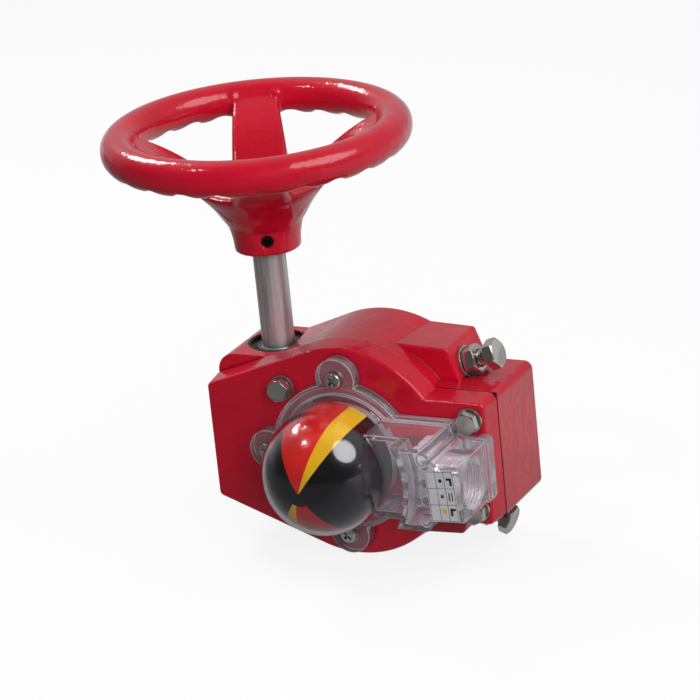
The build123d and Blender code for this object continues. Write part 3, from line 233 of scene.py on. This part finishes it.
def brushed_shaft():
    """Drawn steel bar with streaks along its length."""
    s = Shader("shaft_steel")
    shader = s.principled(Metallic=0.55)
    fine = s.noise(300, 4, 0.6, s.place((1, 1, 0.035)))
    wide = s.noise(110, vector=s.place((1, 1, 0.06)))
    both = s.math("ADD", s.math("MULTIPLY", fine, 0.5), s.math("MULTIPLY", wide, 0.5))
    dark, middle, light = (0.34, 0.33, 0.33), (0.68, 0.66, 0.67), (0.92, 0.9, 0.91)
    colour = s.ramp(both, [(0.36, dark), (0.5, middle), (0.64, light)])
    # Painted shade: the shaft's colour darkens near the parts round it.
    s.link(s.painted_shade(colour, 5 * MM, 0.12), shader.inputs["Base Color"])
    s.link(s.spread(fine, 0.5, 0.34), shader.inputs["Roughness"])
    s.link(s.bump(fine, 0.04 * MM, 0.7), shader.inputs["Normal"])
    return s.material


def moulded(name, light, dark, roughness=0.35, scale=90, coat=0.0):
    """Moulded plastic with a faint flow pattern."""
    s = Shader(name)
    shader = s.principled(Coat_Weight=coat, Coat_Roughness=0.04)
    s.link(s.ramp(s.noise(scale, 3), [(0.3, dark), (0.7, light)]), shader.inputs["Base Color"])
    s.link(s.spread(s.noise(scale * 3), roughness * 0.8, roughness * 1.2), shader.inputs["Roughness"])
    s.link(s.bump(s.noise(scale * 9), 0.03 * MM, 0.5), shader.inputs["Normal"])
    return s.material


def printed(name, colour):
    """Ink on a vinyl label."""
    dark = tuple(part * 0.85 for part in colour)
    return moulded(name, colour, dark, roughness=0.3, scale=400, coat=0.3)


def clear_plastic():
    """Clear polycarbonate: glass clear over the dome, hazy along the moulded edges of the box and flange."""
    s = Shader("clear_plastic")
    shader = s.principled(Roughness=0.03, IOR=1.45)
    from_stem = s.add("ShaderNodeVectorMath", operation="LENGTH")
    s.link(s.place((1, 0, 1)), from_stem.inputs[0])
    dome_edge = (DOME_RADIUS + 0.1 * MM, DOME_RADIUS + 0.6 * MM)
    outside_dome = s.span(from_stem.outputs["Value"], *dome_edge, 0.0, 1.0)
    rounded = s.rounded(0.9 * MM, 6)
    surface = s.add("ShaderNodeNewGeometry")
    turn = s.add("ShaderNodeVectorMath", operation="DOT_PRODUCT")
    s.link(rounded, turn.inputs[0])
    s.link(surface.outputs["Normal"], turn.inputs[1])
    edge = s.math("MULTIPLY", s.span(turn.outputs["Value"], 1.0, 0.86, 0.0, 0.62), outside_dome)
    haze = s.math("ADD", edge, s.math("MULTIPLY", outside_dome, 0.07))
    s.link(s.span(haze, 0, 1, 1.0, 0.0), shader.inputs["Transmission Weight"])
    tinted, clear = (0.93, 0.89, 0.96), (0.98, 0.96, 0.99)
    s.link(s.ramp(s.noise(60, 3), [(0.3, tinted), (0.7, clear)]), shader.inputs["Base Color"])
    s.link(s.bump(s.noise(90), 0.03 * MM, 0.4, rounded), shader.inputs["Normal"])
    open_to_lamps = s.add("ShaderNodeBsdfTransparent")
    open_to_lamps.inputs["Color"].default_value = (0.97, 0.96, 0.98, 1)
    rays = s.add("ShaderNodeLightPath").outputs
    mixed = s.mixed(rays["Is Shadow Ray"], shader.outputs[0], open_to_lamps.outputs[0])
    s.link(mixed, s.output.inputs[0])
    return s.material


GLOSSY = {"roughness": 0.2, "scale": 60, "coat": 0.1}
RED = enamel()
NICKEL = plated("plated_steel")
SHAFT = brushed_shaft()
CLEAR = clear_plastic()
BLACK = moulded("black_plastic", (0.008, 0.008, 0.009), (0.004, 0.004, 0.005), **GLOSSY)
YELLOW = moulded("yellow_plastic", (0.92, 0.56, 0.012), (0.82, 0.47, 0.008), **GLOSSY)
FLAG_RED = moulded("red_plastic", (0.74, 0.022, 0.014), (0.62, 0.015, 0.01), **GLOSSY)
CREAM = moulded("cream_plastic", (0.86, 0.84, 0.82), (0.76, 0.74, 0.72), roughness=0.4)
GREY = moulded("grey_plastic", (0.44, 0.44, 0.46), (0.34, 0.34, 0.36), roughness=0.4)
RUBBER = moulded("seal_rubber", (0.02, 0.02, 0.02), (0.01, 0.01, 0.01), roughness=0.6)
GASKET = moulded("gasket_fibre", (0.05, 0.01, 0.012), (0.02, 0.004, 0.005), roughness=0.6, scale=200)
BLACK_STEEL = plated("black_steel", (0.03, 0.03, 0.032), rough=(0.3, 0.5))
BEARING = plated("bearing_steel", (0.11, 0.11, 0.115), rough=(0.3, 0.45))
BRONZE = plated("bronze", (0.55, 0.33, 0.14), rough=(0.3, 0.5), metallic=0.95)
IRON = plated("ductile_iron", (0.2, 0.195, 0.19), rough=(0.4, 0.6), metallic=0.8)
WHITE_INK = printed("label_white", (0.78, 0.78, 0.80))
BLACK_INK = printed("label_black", (0.02, 0.02, 0.025))
RED_INK = printed("label_red", (0.28, 0.01, 0.03))
YELLOW_INK = printed("label_yellow", (0.75, 0.6, 0.03))

# The materials of the record's slots
MATERIALS = {
    "red_enamel": RED, "gasket_fibre": GASKET, "bronze": BRONZE, "bearing_steel": BEARING,
    "black_steel": BLACK_STEEL, "plated_steel": NICKEL, "clear_plastic": CLEAR, "seal_rubber": RUBBER,
    "black_plastic": BLACK, "cream_plastic": CREAM, "shaft_steel": SHAFT, "ductile_iron": IRON,
    "yellow_plastic": YELLOW, "red_plastic": FLAG_RED, "grey_plastic": GREY,
}


def dress_solids():
    for entry in frame["record"]["subparts"]:
        for slot in nodes[entry["node"]].material_slots:
            slot.material = MATERIALS[entry["material_slot"]]


# ---------------------------------------------------------------- turned and threaded shapes
SHARP_ANGLE = radians(32)
CROWN_SHARE = 0.475  # radius where a hexagon's chamfer starts, as a share of its width across flats
HEX_CHAMFER = radians(30)
THREAD_STEPS = 8  # rows to one turn of a thread
FASTENER_STEPS = 48  # vertices round a bolt or nut
RING_STEPS = 96  # vertices round a larger ring


def new_piece(name, vertices, faces, material, body, slot_name):
    """A mesh piece in the frame of the solids, riding on one of their bodies."""
    mesh = bpy.data.meshes.new(name)
    mesh.from_pydata(vertices, [], faces)
    mesh.materials.append(material)
    mesh.shade_smooth()
    mesh.set_sharp_from_angle(angle=SHARP_ANGLE)
    piece = bpy.data.objects.new(name, mesh)
    scene.collection.objects.link(piece)
    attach(piece, body)
    return piece


def turned(rows, steps, place, ring=False):
    """Vertices and faces round an axis, which place puts in the frame.

    A row is a function that gives (radius, height) at an angle. The last row of a ring joins the first,
    and otherwise the end rows are closed by a face each.
    """
    vertices = []
    for row in rows:
        for step in range(steps):
            angle = 2 * pi * step / steps
            radius, height = row(angle)
            vertices.append(place @ Vector((radius * cos(angle), radius * sin(angle), height)))
    faces = []
    pairs = len(rows) if ring else len(rows) - 1
    for index in range(pairs):
        below = index * steps
        above = (index + 1) % len(rows) * steps
        for step in range(steps):
            after = (step + 1) % steps
            faces.append((below + step, below + after, above + after, above + step))
    if not ring:
        faces.append(tuple(reversed(range(steps))))
        faces.append(tuple(range((len(rows) - 1) * steps, len(rows) * steps)))
    return vertices, faces


def plain_row(radius, height):
    return lambda angle: (radius, height)


def hex_row(flats, height, chamfer=0):
    """A row on the six flats; chamfer 1 or -1 cuts the corners downwards or upwards from the height."""
    def row(angle):
        radius = flats / 2 / cos((angle % (pi / 3)) - pi / 6)
        return radius, height - chamfer * (radius - flats * CROWN_SHARE) * tan(HEX_CHAMFER)
    return row


def thread_row(radius, depth, pitch, height):
    """A cut through a thread: its depth goes once from crest to root and back round the row."""
    def row(angle):
        phase = (height / pitch + angle / (2 * pi)) % 1
        return radius - depth * abs(2 * phase - 1), height
    return row


def axis_place(origin, axis, across, turn=0.0):
    """Places a turned piece: its height runs along axis and its angle starts at across."""
    upward = Vector(axis).normalized()
    start = Vector(across).normalized()
    axes = Matrix((start, upward.cross(start), upward)).transposed().to_4x4()
    return Matrix.Translation(origin) @ axes @ Matrix.Rotation(turn, 4, "Z")


def bolt_mesh(flats, head, radius, length, pitch, place):
    """Hexagon bolt: chamfered head and washer face above height 0, and cut thread below it."""
    crown = flats * CROWN_SHARE
    washer_face = 0.3 * MM
    rows = [
        plain_row(crown * 0.93, head - 0.15 * MM),
        plain_row(crown, head),
        hex_row(flats, head, 1),
        hex_row(flats, washer_face),
        plain_row(crown, washer_face),
        plain_row(crown, 0),
        plain_row(radius, 0),
    ]
    depth = 0.6 * pitch
    rise = pitch / THREAD_STEPS
    count = int((length - radius * 0.25) / pitch * THREAD_STEPS)
    rows += [thread_row(radius, depth, pitch, -step * rise) for step in range(1, count)]
    rows += [plain_row(radius - depth, -count * rise), plain_row(radius - depth * 1.3, -length)]
    return turned(rows, FASTENER_STEPS, place)


def nut_mesh(flats, height, bore, place):
    """Hexagon nut, chamfered and countersunk on both sides."""
    crown = flats * CROWN_SHARE
    countersink = 0.6 * MM
    rows = [
        plain_row(bore, countersink),
        plain_row(bore + countersink, 0),
        plain_row(crown, 0),
        hex_row(flats, 0, -1),
        hex_row(flats, height, 1),
        plain_row(crown, height),
        plain_row(bore + countersink, height),
        plain_row(bore, height - countersink),
    ]
    return turned(rows, FASTENER_STEPS, place, ring=True)


def joined(meshes):
    """Several lists of vertices and faces as one."""
    vertices, faces = [], []
    for points, polygons in meshes:
        start = len(vertices)
        vertices += points
        faces += [tuple(start + corner for corner in polygon) for polygon in polygons]
    return vertices, faces


# ---------------------------------------------------------------- stop bolts and their lock nuts, M8
STOP_TILT = radians(20)
STOP_OFFSET = 17.6 * MM  # from the stem's axis to the bolts' axes
STOP_NUT_SEAT = 60.8 * MM  # along a bolt's axis, from the foot of that offset
STOP_FLATS = 13 * MM
STOP_HEAD = 5.3 * MM
STOP_NUT = 6.5 * MM
STOP_RADIUS = 4 * MM
STOP_PITCH = 1.25 * MM
STOP_SHOWING = 5.2 * MM  # thread between nut and head
STOP_LENGTH = 54.3 * MM
STOP_BOLT_TURN = 0.2  # radians
STOP_NUT_TURN = 0.15


def stop_place(side, distance, turn):
    """A place on the upper bolt's axis, side 1, or the lower one's, side -1."""
    axis = Vector((cos(STOP_TILT), 0, side * sin(STOP_TILT)))
    foot = Vector((-STOP_OFFSET * sin(STOP_TILT), GEAR_Y, side * STOP_OFFSET * cos(STOP_TILT)))
    return axis_place(foot + axis * distance, axis, (0, 1, 0), turn)


def stop_bolts():
    for side, node in ((1, "upper_stop_bolt"), (-1, "lower_stop_bolt")):
        seat = stop_place(side, STOP_NUT_SEAT + STOP_NUT + STOP_SHOWING, STOP_BOLT_TURN)
        mesh = bolt_mesh(STOP_FLATS, STOP_HEAD, STOP_RADIUS, STOP_LENGTH, STOP_PITCH, seat)
        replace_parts(new_piece(node + "_threaded", *mesh, NICKEL, "housing", "plated_steel"), node)


def stop_nuts():
    bore = STOP_RADIUS + 0.02 * MM
    seats = [stop_place(side, STOP_NUT_SEAT, STOP_NUT_TURN) for side in (1, -1)]
    nuts = joined([nut_mesh(STOP_FLATS, STOP_NUT, bore, seat) for seat in seats])
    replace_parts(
        new_piece("stop_lock_nuts_chamfered", *nuts, NICKEL, "housing", "plated_steel"), "stop_lock_nuts"
    )


# ---------------------------------------------------------------- gasket
GASKET_BULGE = 0.6 * MM


def squeezed_gasket():
    """The gasket, squeezed a little out of the joint."""
    mesh = nodes["cover_gasket"].data.copy()
    shape = bmesh.new()
    shape.from_mesh(mesh)
    bmesh.ops.remove_doubles(shape, verts=shape.verts, dist=0.005 * MM)
    shape.normal_update()
    moves = []
    for vertex in shape.verts:
        sideways = Vector((0, 0, 0))
        for face in vertex.link_faces:
            if abs(face.normal.y) < 0.5:
                sideways += face.normal * face.calc_area()
        if sideways.length > 0:
            moves.append((vertex, sideways.normalized() * GASKET_BULGE))
    for vertex, move in moves:
        vertex.co += move
    shape.to_mesh(mesh)
    shape.free()
    gasket = bpy.data.objects.new("cover_gasket_squeezed", mesh)
    scene.collection.objects.link(gasket)
    mesh.materials.clear()
    mesh.materials.append(GASKET)
    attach(gasket, "housing")
    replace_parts(gasket, "cover_gasket")


# ---------------------------------------------------------------- cover bolts, M6
# x and z in millimetres, and turn in radians
COVER_BOLTS = [(-31, 31, 0.3), (-31, -31, 0.1), (66, 22.5, 0.75), (66, -22.5, 0.5)]
BOLT_SEAT_Y = FACE_Y - 3.2 * MM
BOLT_FLATS = 10 * MM
BOLT_HEAD = 4 * MM
BOLT_RADIUS = 3 * MM
BOLT_LENGTH = 24.4 * MM
BOLT_PITCH = 1 * MM


def cover_bolts():
    meshes = []
    for x, z, turn in COVER_BOLTS:
        seat = axis_place((x * MM, BOLT_SEAT_Y, z * MM), (0, -1, 0), (1, 0, 0), turn)
        meshes.append(bolt_mesh(BOLT_FLATS, BOLT_HEAD, BOLT_RADIUS, BOLT_LENGTH, BOLT_PITCH, seat))
    bolts = joined(meshes)
    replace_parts(new_piece("cover_bolts_threaded", *bolts, NICKEL, "housing", "plated_steel"), "cover_bolts")


# ---------------------------------------------------------------- conduit entry
CONDUIT_PITCH = 1.81 * MM
CONDUIT_THREAD_DEPTH = 1.1 * MM
CONDUIT_RELIEF = 0.3 * MM  # from the bore's inner end to the thread


def conduit_thread():
    """Internal thread of the conduit entry, a closed ring that fits in its bore."""
    outside = CONDUIT_RADIUS - 0.02 * MM
    crest = outside - 0.1 * MM
    rise = CONDUIT_PITCH / THREAD_STEPS
    count = int((CONDUIT_LENGTH - 1 * MM) / CONDUIT_PITCH * THREAD_STEPS)
    heights = [CONDUIT_RELIEF + step * rise for step in range(count)]
    rows = [plain_row(outside, CONDUIT_RELIEF - 0.1 * MM)]
    rows += [thread_row(crest, CONDUIT_THREAD_DEPTH, CONDUIT_PITCH, height) for height in heights]
    rows += [plain_row(outside, CONDUIT_RELIEF + 0.1 * MM + count * rise)]
    inner_end = axis_place((BOX_RIGHT_X - CONDUIT_LENGTH, CONDUIT_Y, 0), (1, 0, 0), (0, 1, 0))
    thread = turned(rows, RING_STEPS, inner_end, ring=True)
    new_piece("conduit_thread", *thread, CLEAR, "housing", "clear_plastic")


# ---------------------------------------------------------------- wiring label on the terminal box
LABEL_CENTRE = Vector((65.2 * MM, BOX_FRONT_Y, -1.6 * MM))
LABEL_TURN = Matrix.Rotation(radians(-4), 4, "Y")
# The rest is in millimetres, from the label's lower left corner.
LABEL_WIDTH = 14.4
LABEL_HEIGHT = 25.2
LABEL_LIFT = 0.03
LABEL_THICKNESS = 0.12
INK_THICKNESS = 0.04
RULE_WIDTH = 0.22
RULED_COLUMNS = [0.5, 5.2, 9.5, LABEL_WIDTH - 0.5]
RULED_ROWS = [0.5, 8.5, 16.6, LABEL_HEIGHT - 0.5]
# Plain marks, as left, bottom, right and top
BLACK_MARKS = [
    (10.4, 5.6, 13.2, 6.8), (10.4, 3.0, 11.6, 5.6), (10.4, 20.6, 13.2, 21.8), (12.0, 18.0, 13.2, 20.6),
    (10.6, 10.4, 11.2, 14.6), (12.1, 10.4, 12.7, 14.6), (6.6, 19.6, 8.2, 21.2),
]
RED_MARK = (6.6, 11.9, 8.2, 13.5)
YELLOW_MARK = (6.5, 4.2, 8.5, 6.2)


def plate(left, bottom, right, top, lift, thickness):
    """A thin plate in the label's plane."""
    corners = [(left, bottom), (right, bottom), (right, top), (left, top)]
    vertices = []
    for depth in (lift, lift + thickness):
        for x, z in corners:
            local = Vector(((x - LABEL_WIDTH / 2) * MM, -depth * MM, (z - LABEL_HEIGHT / 2) * MM))
            vertices.append(LABEL_CENTRE + LABEL_TURN @ local)
    faces = [(3, 2, 1, 0), (4, 5, 6, 7), (0, 1, 5, 4), (1, 2, 6, 5), (2, 3, 7, 6), (3, 0, 4, 7)]
    return vertices, faces


def ink(left, bottom, right, top):
    """A plate of ink on the label."""
    return plate(left, bottom, right, top, LABEL_LIFT + LABEL_THICKNESS, INK_THICKNESS)


def wiring_label():
    """A ruled table with plain marks."""
    vinyl = plate(0, 0, LABEL_WIDTH, LABEL_HEIGHT, LABEL_LIFT, LABEL_THICKNESS)
    new_piece("wiring_label", *vinyl, WHITE_INK, "housing", "cream_plastic")
    half = RULE_WIDTH / 2
    black = [ink(x - half, RULED_ROWS[0], x + half, RULED_ROWS[-1]) for x in RULED_COLUMNS]
    black += [ink(RULED_COLUMNS[0], z - half, RULED_COLUMNS[-1], z + half) for z in RULED_ROWS]
    black += [ink(*mark) for mark in BLACK_MARKS]
    new_piece("wiring_label_rules", *joined(black), BLACK_INK, "housing", "black_plastic")
    new_piece("wiring_label_red", *ink(*RED_MARK), RED_INK, "housing", "red_plastic")
    new_piece("wiring_label_yellow", *ink(*YELLOW_MARK), YELLOW_INK, "housing", "yellow_plastic")


# ---------------------------------------------------------------- handwheel
CASTING_VOXEL = 0.8 * MM
# Radius and height over the hub's lower face, in millimetres, where the casting flows fuller from hub
# to spokes
HUB_FLOW = [
    (18, 13.2), (19.6, 15.5), (21.2, 18), (22.7, 20.5), (24.4, 23), (26.3, 25.5), (28.4, 28), (30.6, 31),
    (31, 33),
]
HUB_FLOW_INSIDE = 15 * MM
# Beads of cast metal at the edges of a spoke's end: distance from the worm's axis, from the spoke's
# middle, and height
TOP_BEAD = (WHEEL_RADIUS - 7.4 * MM, 10.6 * MM, WHEEL_Z + 3.2 * MM)
LOWER_BEAD = (WHEEL_RADIUS - 8.4 * MM, 10.388 * MM, WHEEL_Z - 5.4 * MM)
# Half their sizes along the spoke, across it and upwards
TOP_BEAD_RADII = (2.6 * MM, 1.9 * MM, 2.6 * MM)
LOWER_BEAD_RADII = (2.2 * MM, 1.8 * MM, 2.4 * MM)
BEAD_VARIATION = 0.18
BEAD_RINGS = 8
BEAD_STEPS = 12


def bead(place, radii):
    """An ellipsoid to be melted into the casting."""
    vertices, faces = [], []
    for ring in range(1, BEAD_RINGS):
        tilt = pi * ring / BEAD_RINGS
        for step in range(BEAD_STEPS):
            angle = 2 * pi * step / BEAD_STEPS
            point = (sin(tilt) * cos(angle), sin(tilt) * sin(angle), cos(tilt))
            vertices.append(place @ Vector(tuple(part * radius for part, radius in zip(point, radii))))
    last = (BEAD_RINGS - 2) * BEAD_STEPS
    for above in range(0, last, BEAD_STEPS):
        below = above + BEAD_STEPS
        for step in range(BEAD_STEPS):
            after = (step + 1) % BEAD_STEPS
            faces.append((above + step, below + step, below + after, above + after))
    faces.append(tuple(range(BEAD_STEPS)))
    faces.append(tuple(reversed(range(last, last + BEAD_STEPS))))
    return vertices, faces


def spoke_beads():
    """Beads at both edges of each spoke, above and below, of uneven sizes as in a sand casting."""
    worm_axis = Matrix.Translation((WORM_X, GEAR_Y, 0))
    beads = []
    for index, angle in enumerate(SPOKE_ANGLES):
        spoke = worm_axis @ Matrix.Rotation(radians(angle), 4, "Z")
        for side in (1, -1):
            size = 1 + BEAD_VARIATION * sin(3.1 * index + side)
            distance, across, height = TOP_BEAD
            place = spoke @ Matrix.Translation((distance, side * across, height))
            along, wide, high = TOP_BEAD_RADII
            beads.append(bead(place, (along * size, wide * size, high)))
            distance, across, height = LOWER_BEAD
            place = spoke @ Matrix.Translation((distance, side * across, height))
            along, wide, high = LOWER_BEAD_RADII
            beads.append(bead(place, (along, wide * size, high)))
    return beads


def hub_flow():
    """The cast flow round the upper half of the hub, a closed ring sunk in it."""
    rows = [plain_row(radius * MM, height * MM) for radius, height in HUB_FLOW]
    rows += [plain_row(HUB_FLOW_INSIDE, HUB_FLOW[end][1] * MM) for end in (-1, 0)]
    return turned(rows, RING_STEPS, Matrix.Translation((WORM_X, GEAR_Y, HUB_BOTTOM)), ring=True)


def cast_wheel():
    """The handwheel as cast: solid, hub flow and beads melted together, with soft corners."""
    casting = nodes["handwheel"].data.copy()
    shape = bmesh.new()
    shape.from_mesh(casting)
    points, polygons = joined([hub_flow(), *spoke_beads()])
    added = [shape.verts.new(point) for point in points]
    for polygon in polygons:
        shape.faces.new([added[corner] for corner in polygon])
    shape.to_mesh(casting)
    shape.free()
    wheel = bpy.data.objects.new("handwheel_casting", casting)
    scene.collection.objects.link(wheel)
    melt = wheel.modifiers.new("melt", "REMESH")
    melt.mode = "VOXEL"
    melt.voxel_size = CASTING_VOXEL
    soften = wheel.modifiers.new("soften", "SMOOTH")
    soften.factor = 0.5
    soften.iterations = 7
    depsgraph = bpy.context.evaluated_depsgraph_get()
    result = bpy.data.meshes.new_from_object(wheel.evaluated_get(depsgraph))
    wheel.modifiers.clear()
    wheel.data = result
    result.materials.clear()
    result.materials.append(RED)
    result.shade_smooth()
    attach(wheel, "worm_drive")
    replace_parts(wheel, "handwheel")


# ---------------------------------------------------------------- light, floor and camera
LAMP_TARGET = Vector((0, -0.04, 0.05))
FLOOR_HALF = 12.0  # metres from its middle to an edge
FLOOR_GAP = 0.5 * MM  # below the solids
CAMERA_PLACE = (0.73427, -1.42140, 0.62413)
CAMERA_TURN = Euler([radians(angle) for angle in (69.58194, 5.48497, 26.08281)])
CAMERA_LENS = 181.05  # millimetres, on a sensor 36 wide


def area_lamp(name, direction, distance, radius, power):
    """A round softbox facing the object."""
    data = bpy.data.lights.new(name, "AREA")
    data.shape = "DISK"
    data.size = 2 * radius
    data.energy = power
    lamp = bpy.data.objects.new(name, data)
    scene.collection.objects.link(lamp)
    away = Vector(direction).normalized()
    lamp.location = LAMP_TARGET + away * distance
    lamp.rotation_euler = away.to_track_quat("Z", "Y").to_euler()
    return lamp


def studio_lamps():
    """Softboxes from the sides and above, and a fill that gloss and glass don't show."""
    right = (0.716, -0.068, 0.694)
    area_lamp("softbox_right", right, distance=1.2, radius=0.42, power=3.8).visible_glossy = False
    area_lamp("softbox_right_gloss", right, distance=1.19, radius=0.46, power=8.0).visible_diffuse = False
    area_lamp("softbox_left", (-0.653, 0.308, 0.693), distance=1.2, radius=0.2, power=5.0)
    area_lamp("softbox_top", (-0.393, -0.298, 0.87), distance=1.3, radius=0.08, power=1.2)
    fill = area_lamp("front_fill", (0.6, -0.7, 0.4), distance=1.0, radius=0.3, power=4.1)
    fill.visible_glossy = False
    fill.visible_transmission = False


def studio_world():
    """Even light, a pale backdrop for the camera, and a room that gloss and glass show darker in front."""
    world = bpy.data.worlds.new("studio")
    scene.world = world
    world.use_nodes = True
    w = NodeTree(world.node_tree)
    direction = w.add("ShaderNodeSeparateXYZ")
    w.link(w.add("ShaderNodeTexCoord").outputs["Generated"], direction.inputs[0])
    rays = w.add("ShaderNodeLightPath").outputs
    plain = w.add("ShaderNodeBackground")
    plain.inputs["Strength"].default_value = 0.34
    seen = w.add("ShaderNodeBackground")
    seen.inputs["Strength"].default_value = 0.985
    mirrored = w.add("ShaderNodeBackground")
    behind = w.span(direction.outputs["Y"], -0.35, 0.55, 0.05, 0.5, interpolation_type="SMOOTHSTEP")
    w.link(behind, mirrored.inputs["Strength"])
    unseen = w.mixed(w.mirror_share(rays), plain.outputs[0], mirrored.outputs[0])
    all_rays = w.mixed(rays["Is Camera Ray"], unseen, seen.outputs[0])
    w.link(all_rays, w.add("ShaderNodeOutputWorld").inputs[0])


def floor_material():
    """White to the camera, with soft shadows; gloss and glass show it darker in front."""
    s = Shader("floor")
    rays = s.add("ShaderNodeLightPath").outputs
    lit = s.add("ShaderNodeBsdfDiffuse")
    lit.inputs["Color"].default_value = (0.15, 0.15, 0.15, 1)
    glow = s.add("ShaderNodeEmission")
    s.link(s.math("MULTIPLY", rays["Is Camera Ray"], 0.86), glow.inputs["Strength"])
    direct = s.add("ShaderNodeAddShader")
    s.link(lit.outputs[0], direct.inputs[0])
    s.link(glow.outputs[0], direct.inputs[1])
    along = s.add("ShaderNodeSeparateXYZ")
    s.link(s.coordinates, along.inputs[0])
    backward = s.math("ADD", along.outputs["Y"], s.math("MULTIPLY", along.outputs["X"], 0.5))
    mirrored = s.add("ShaderNodeEmission")
    s.link(s.span(backward, -0.2, 0.2, 0.12, 0.6), mirrored.inputs["Strength"])
    all_rays = s.mixed(s.mirror_share(rays), direct.outputs[0], mirrored.outputs[0])
    s.link(all_rays, s.output.inputs[0])
    return s.material


def studio_floor():
    level = CAD_BOX[0][2] - FLOOR_GAP
    corners = [(x * FLOOR_HALF, y * FLOOR_HALF, level) for x, y in ((-1, -1), (1, -1), (1, 1), (-1, 1))]
    mesh = bpy.data.meshes.new("floor")
    mesh.from_pydata(corners, [], [(0, 1, 2, 3)])
    mesh.materials.append(floor_material())
    floor = bpy.data.objects.new("floor", mesh)
    scene.collection.objects.link(floor)


def photo_camera():
    """A long lens at the photograph's viewing angle."""
    data = bpy.data.cameras.new("camera")
    data.lens = CAMERA_LENS
    data.sensor_width = 36
    data.clip_start = 0.05
    data.clip_end = 50
    camera = bpy.data.objects.new("camera", data)
    scene.collection.objects.link(camera)
    camera.matrix_world = Matrix.Translation(CAMERA_PLACE) @ CAMERA_TURN.to_matrix().to_4x4()
    scene.camera = camera


# ---------------------------------------------------------------- the scene
dress_solids()
stop_bolts()
stop_nuts()
squeezed_gasket()
cover_bolts()
conduit_thread()
wiring_label()
cast_wheel()
studio_lamps()
studio_world()
studio_floor()
photo_camera()
scene.view_settings.view_transform = "Standard"
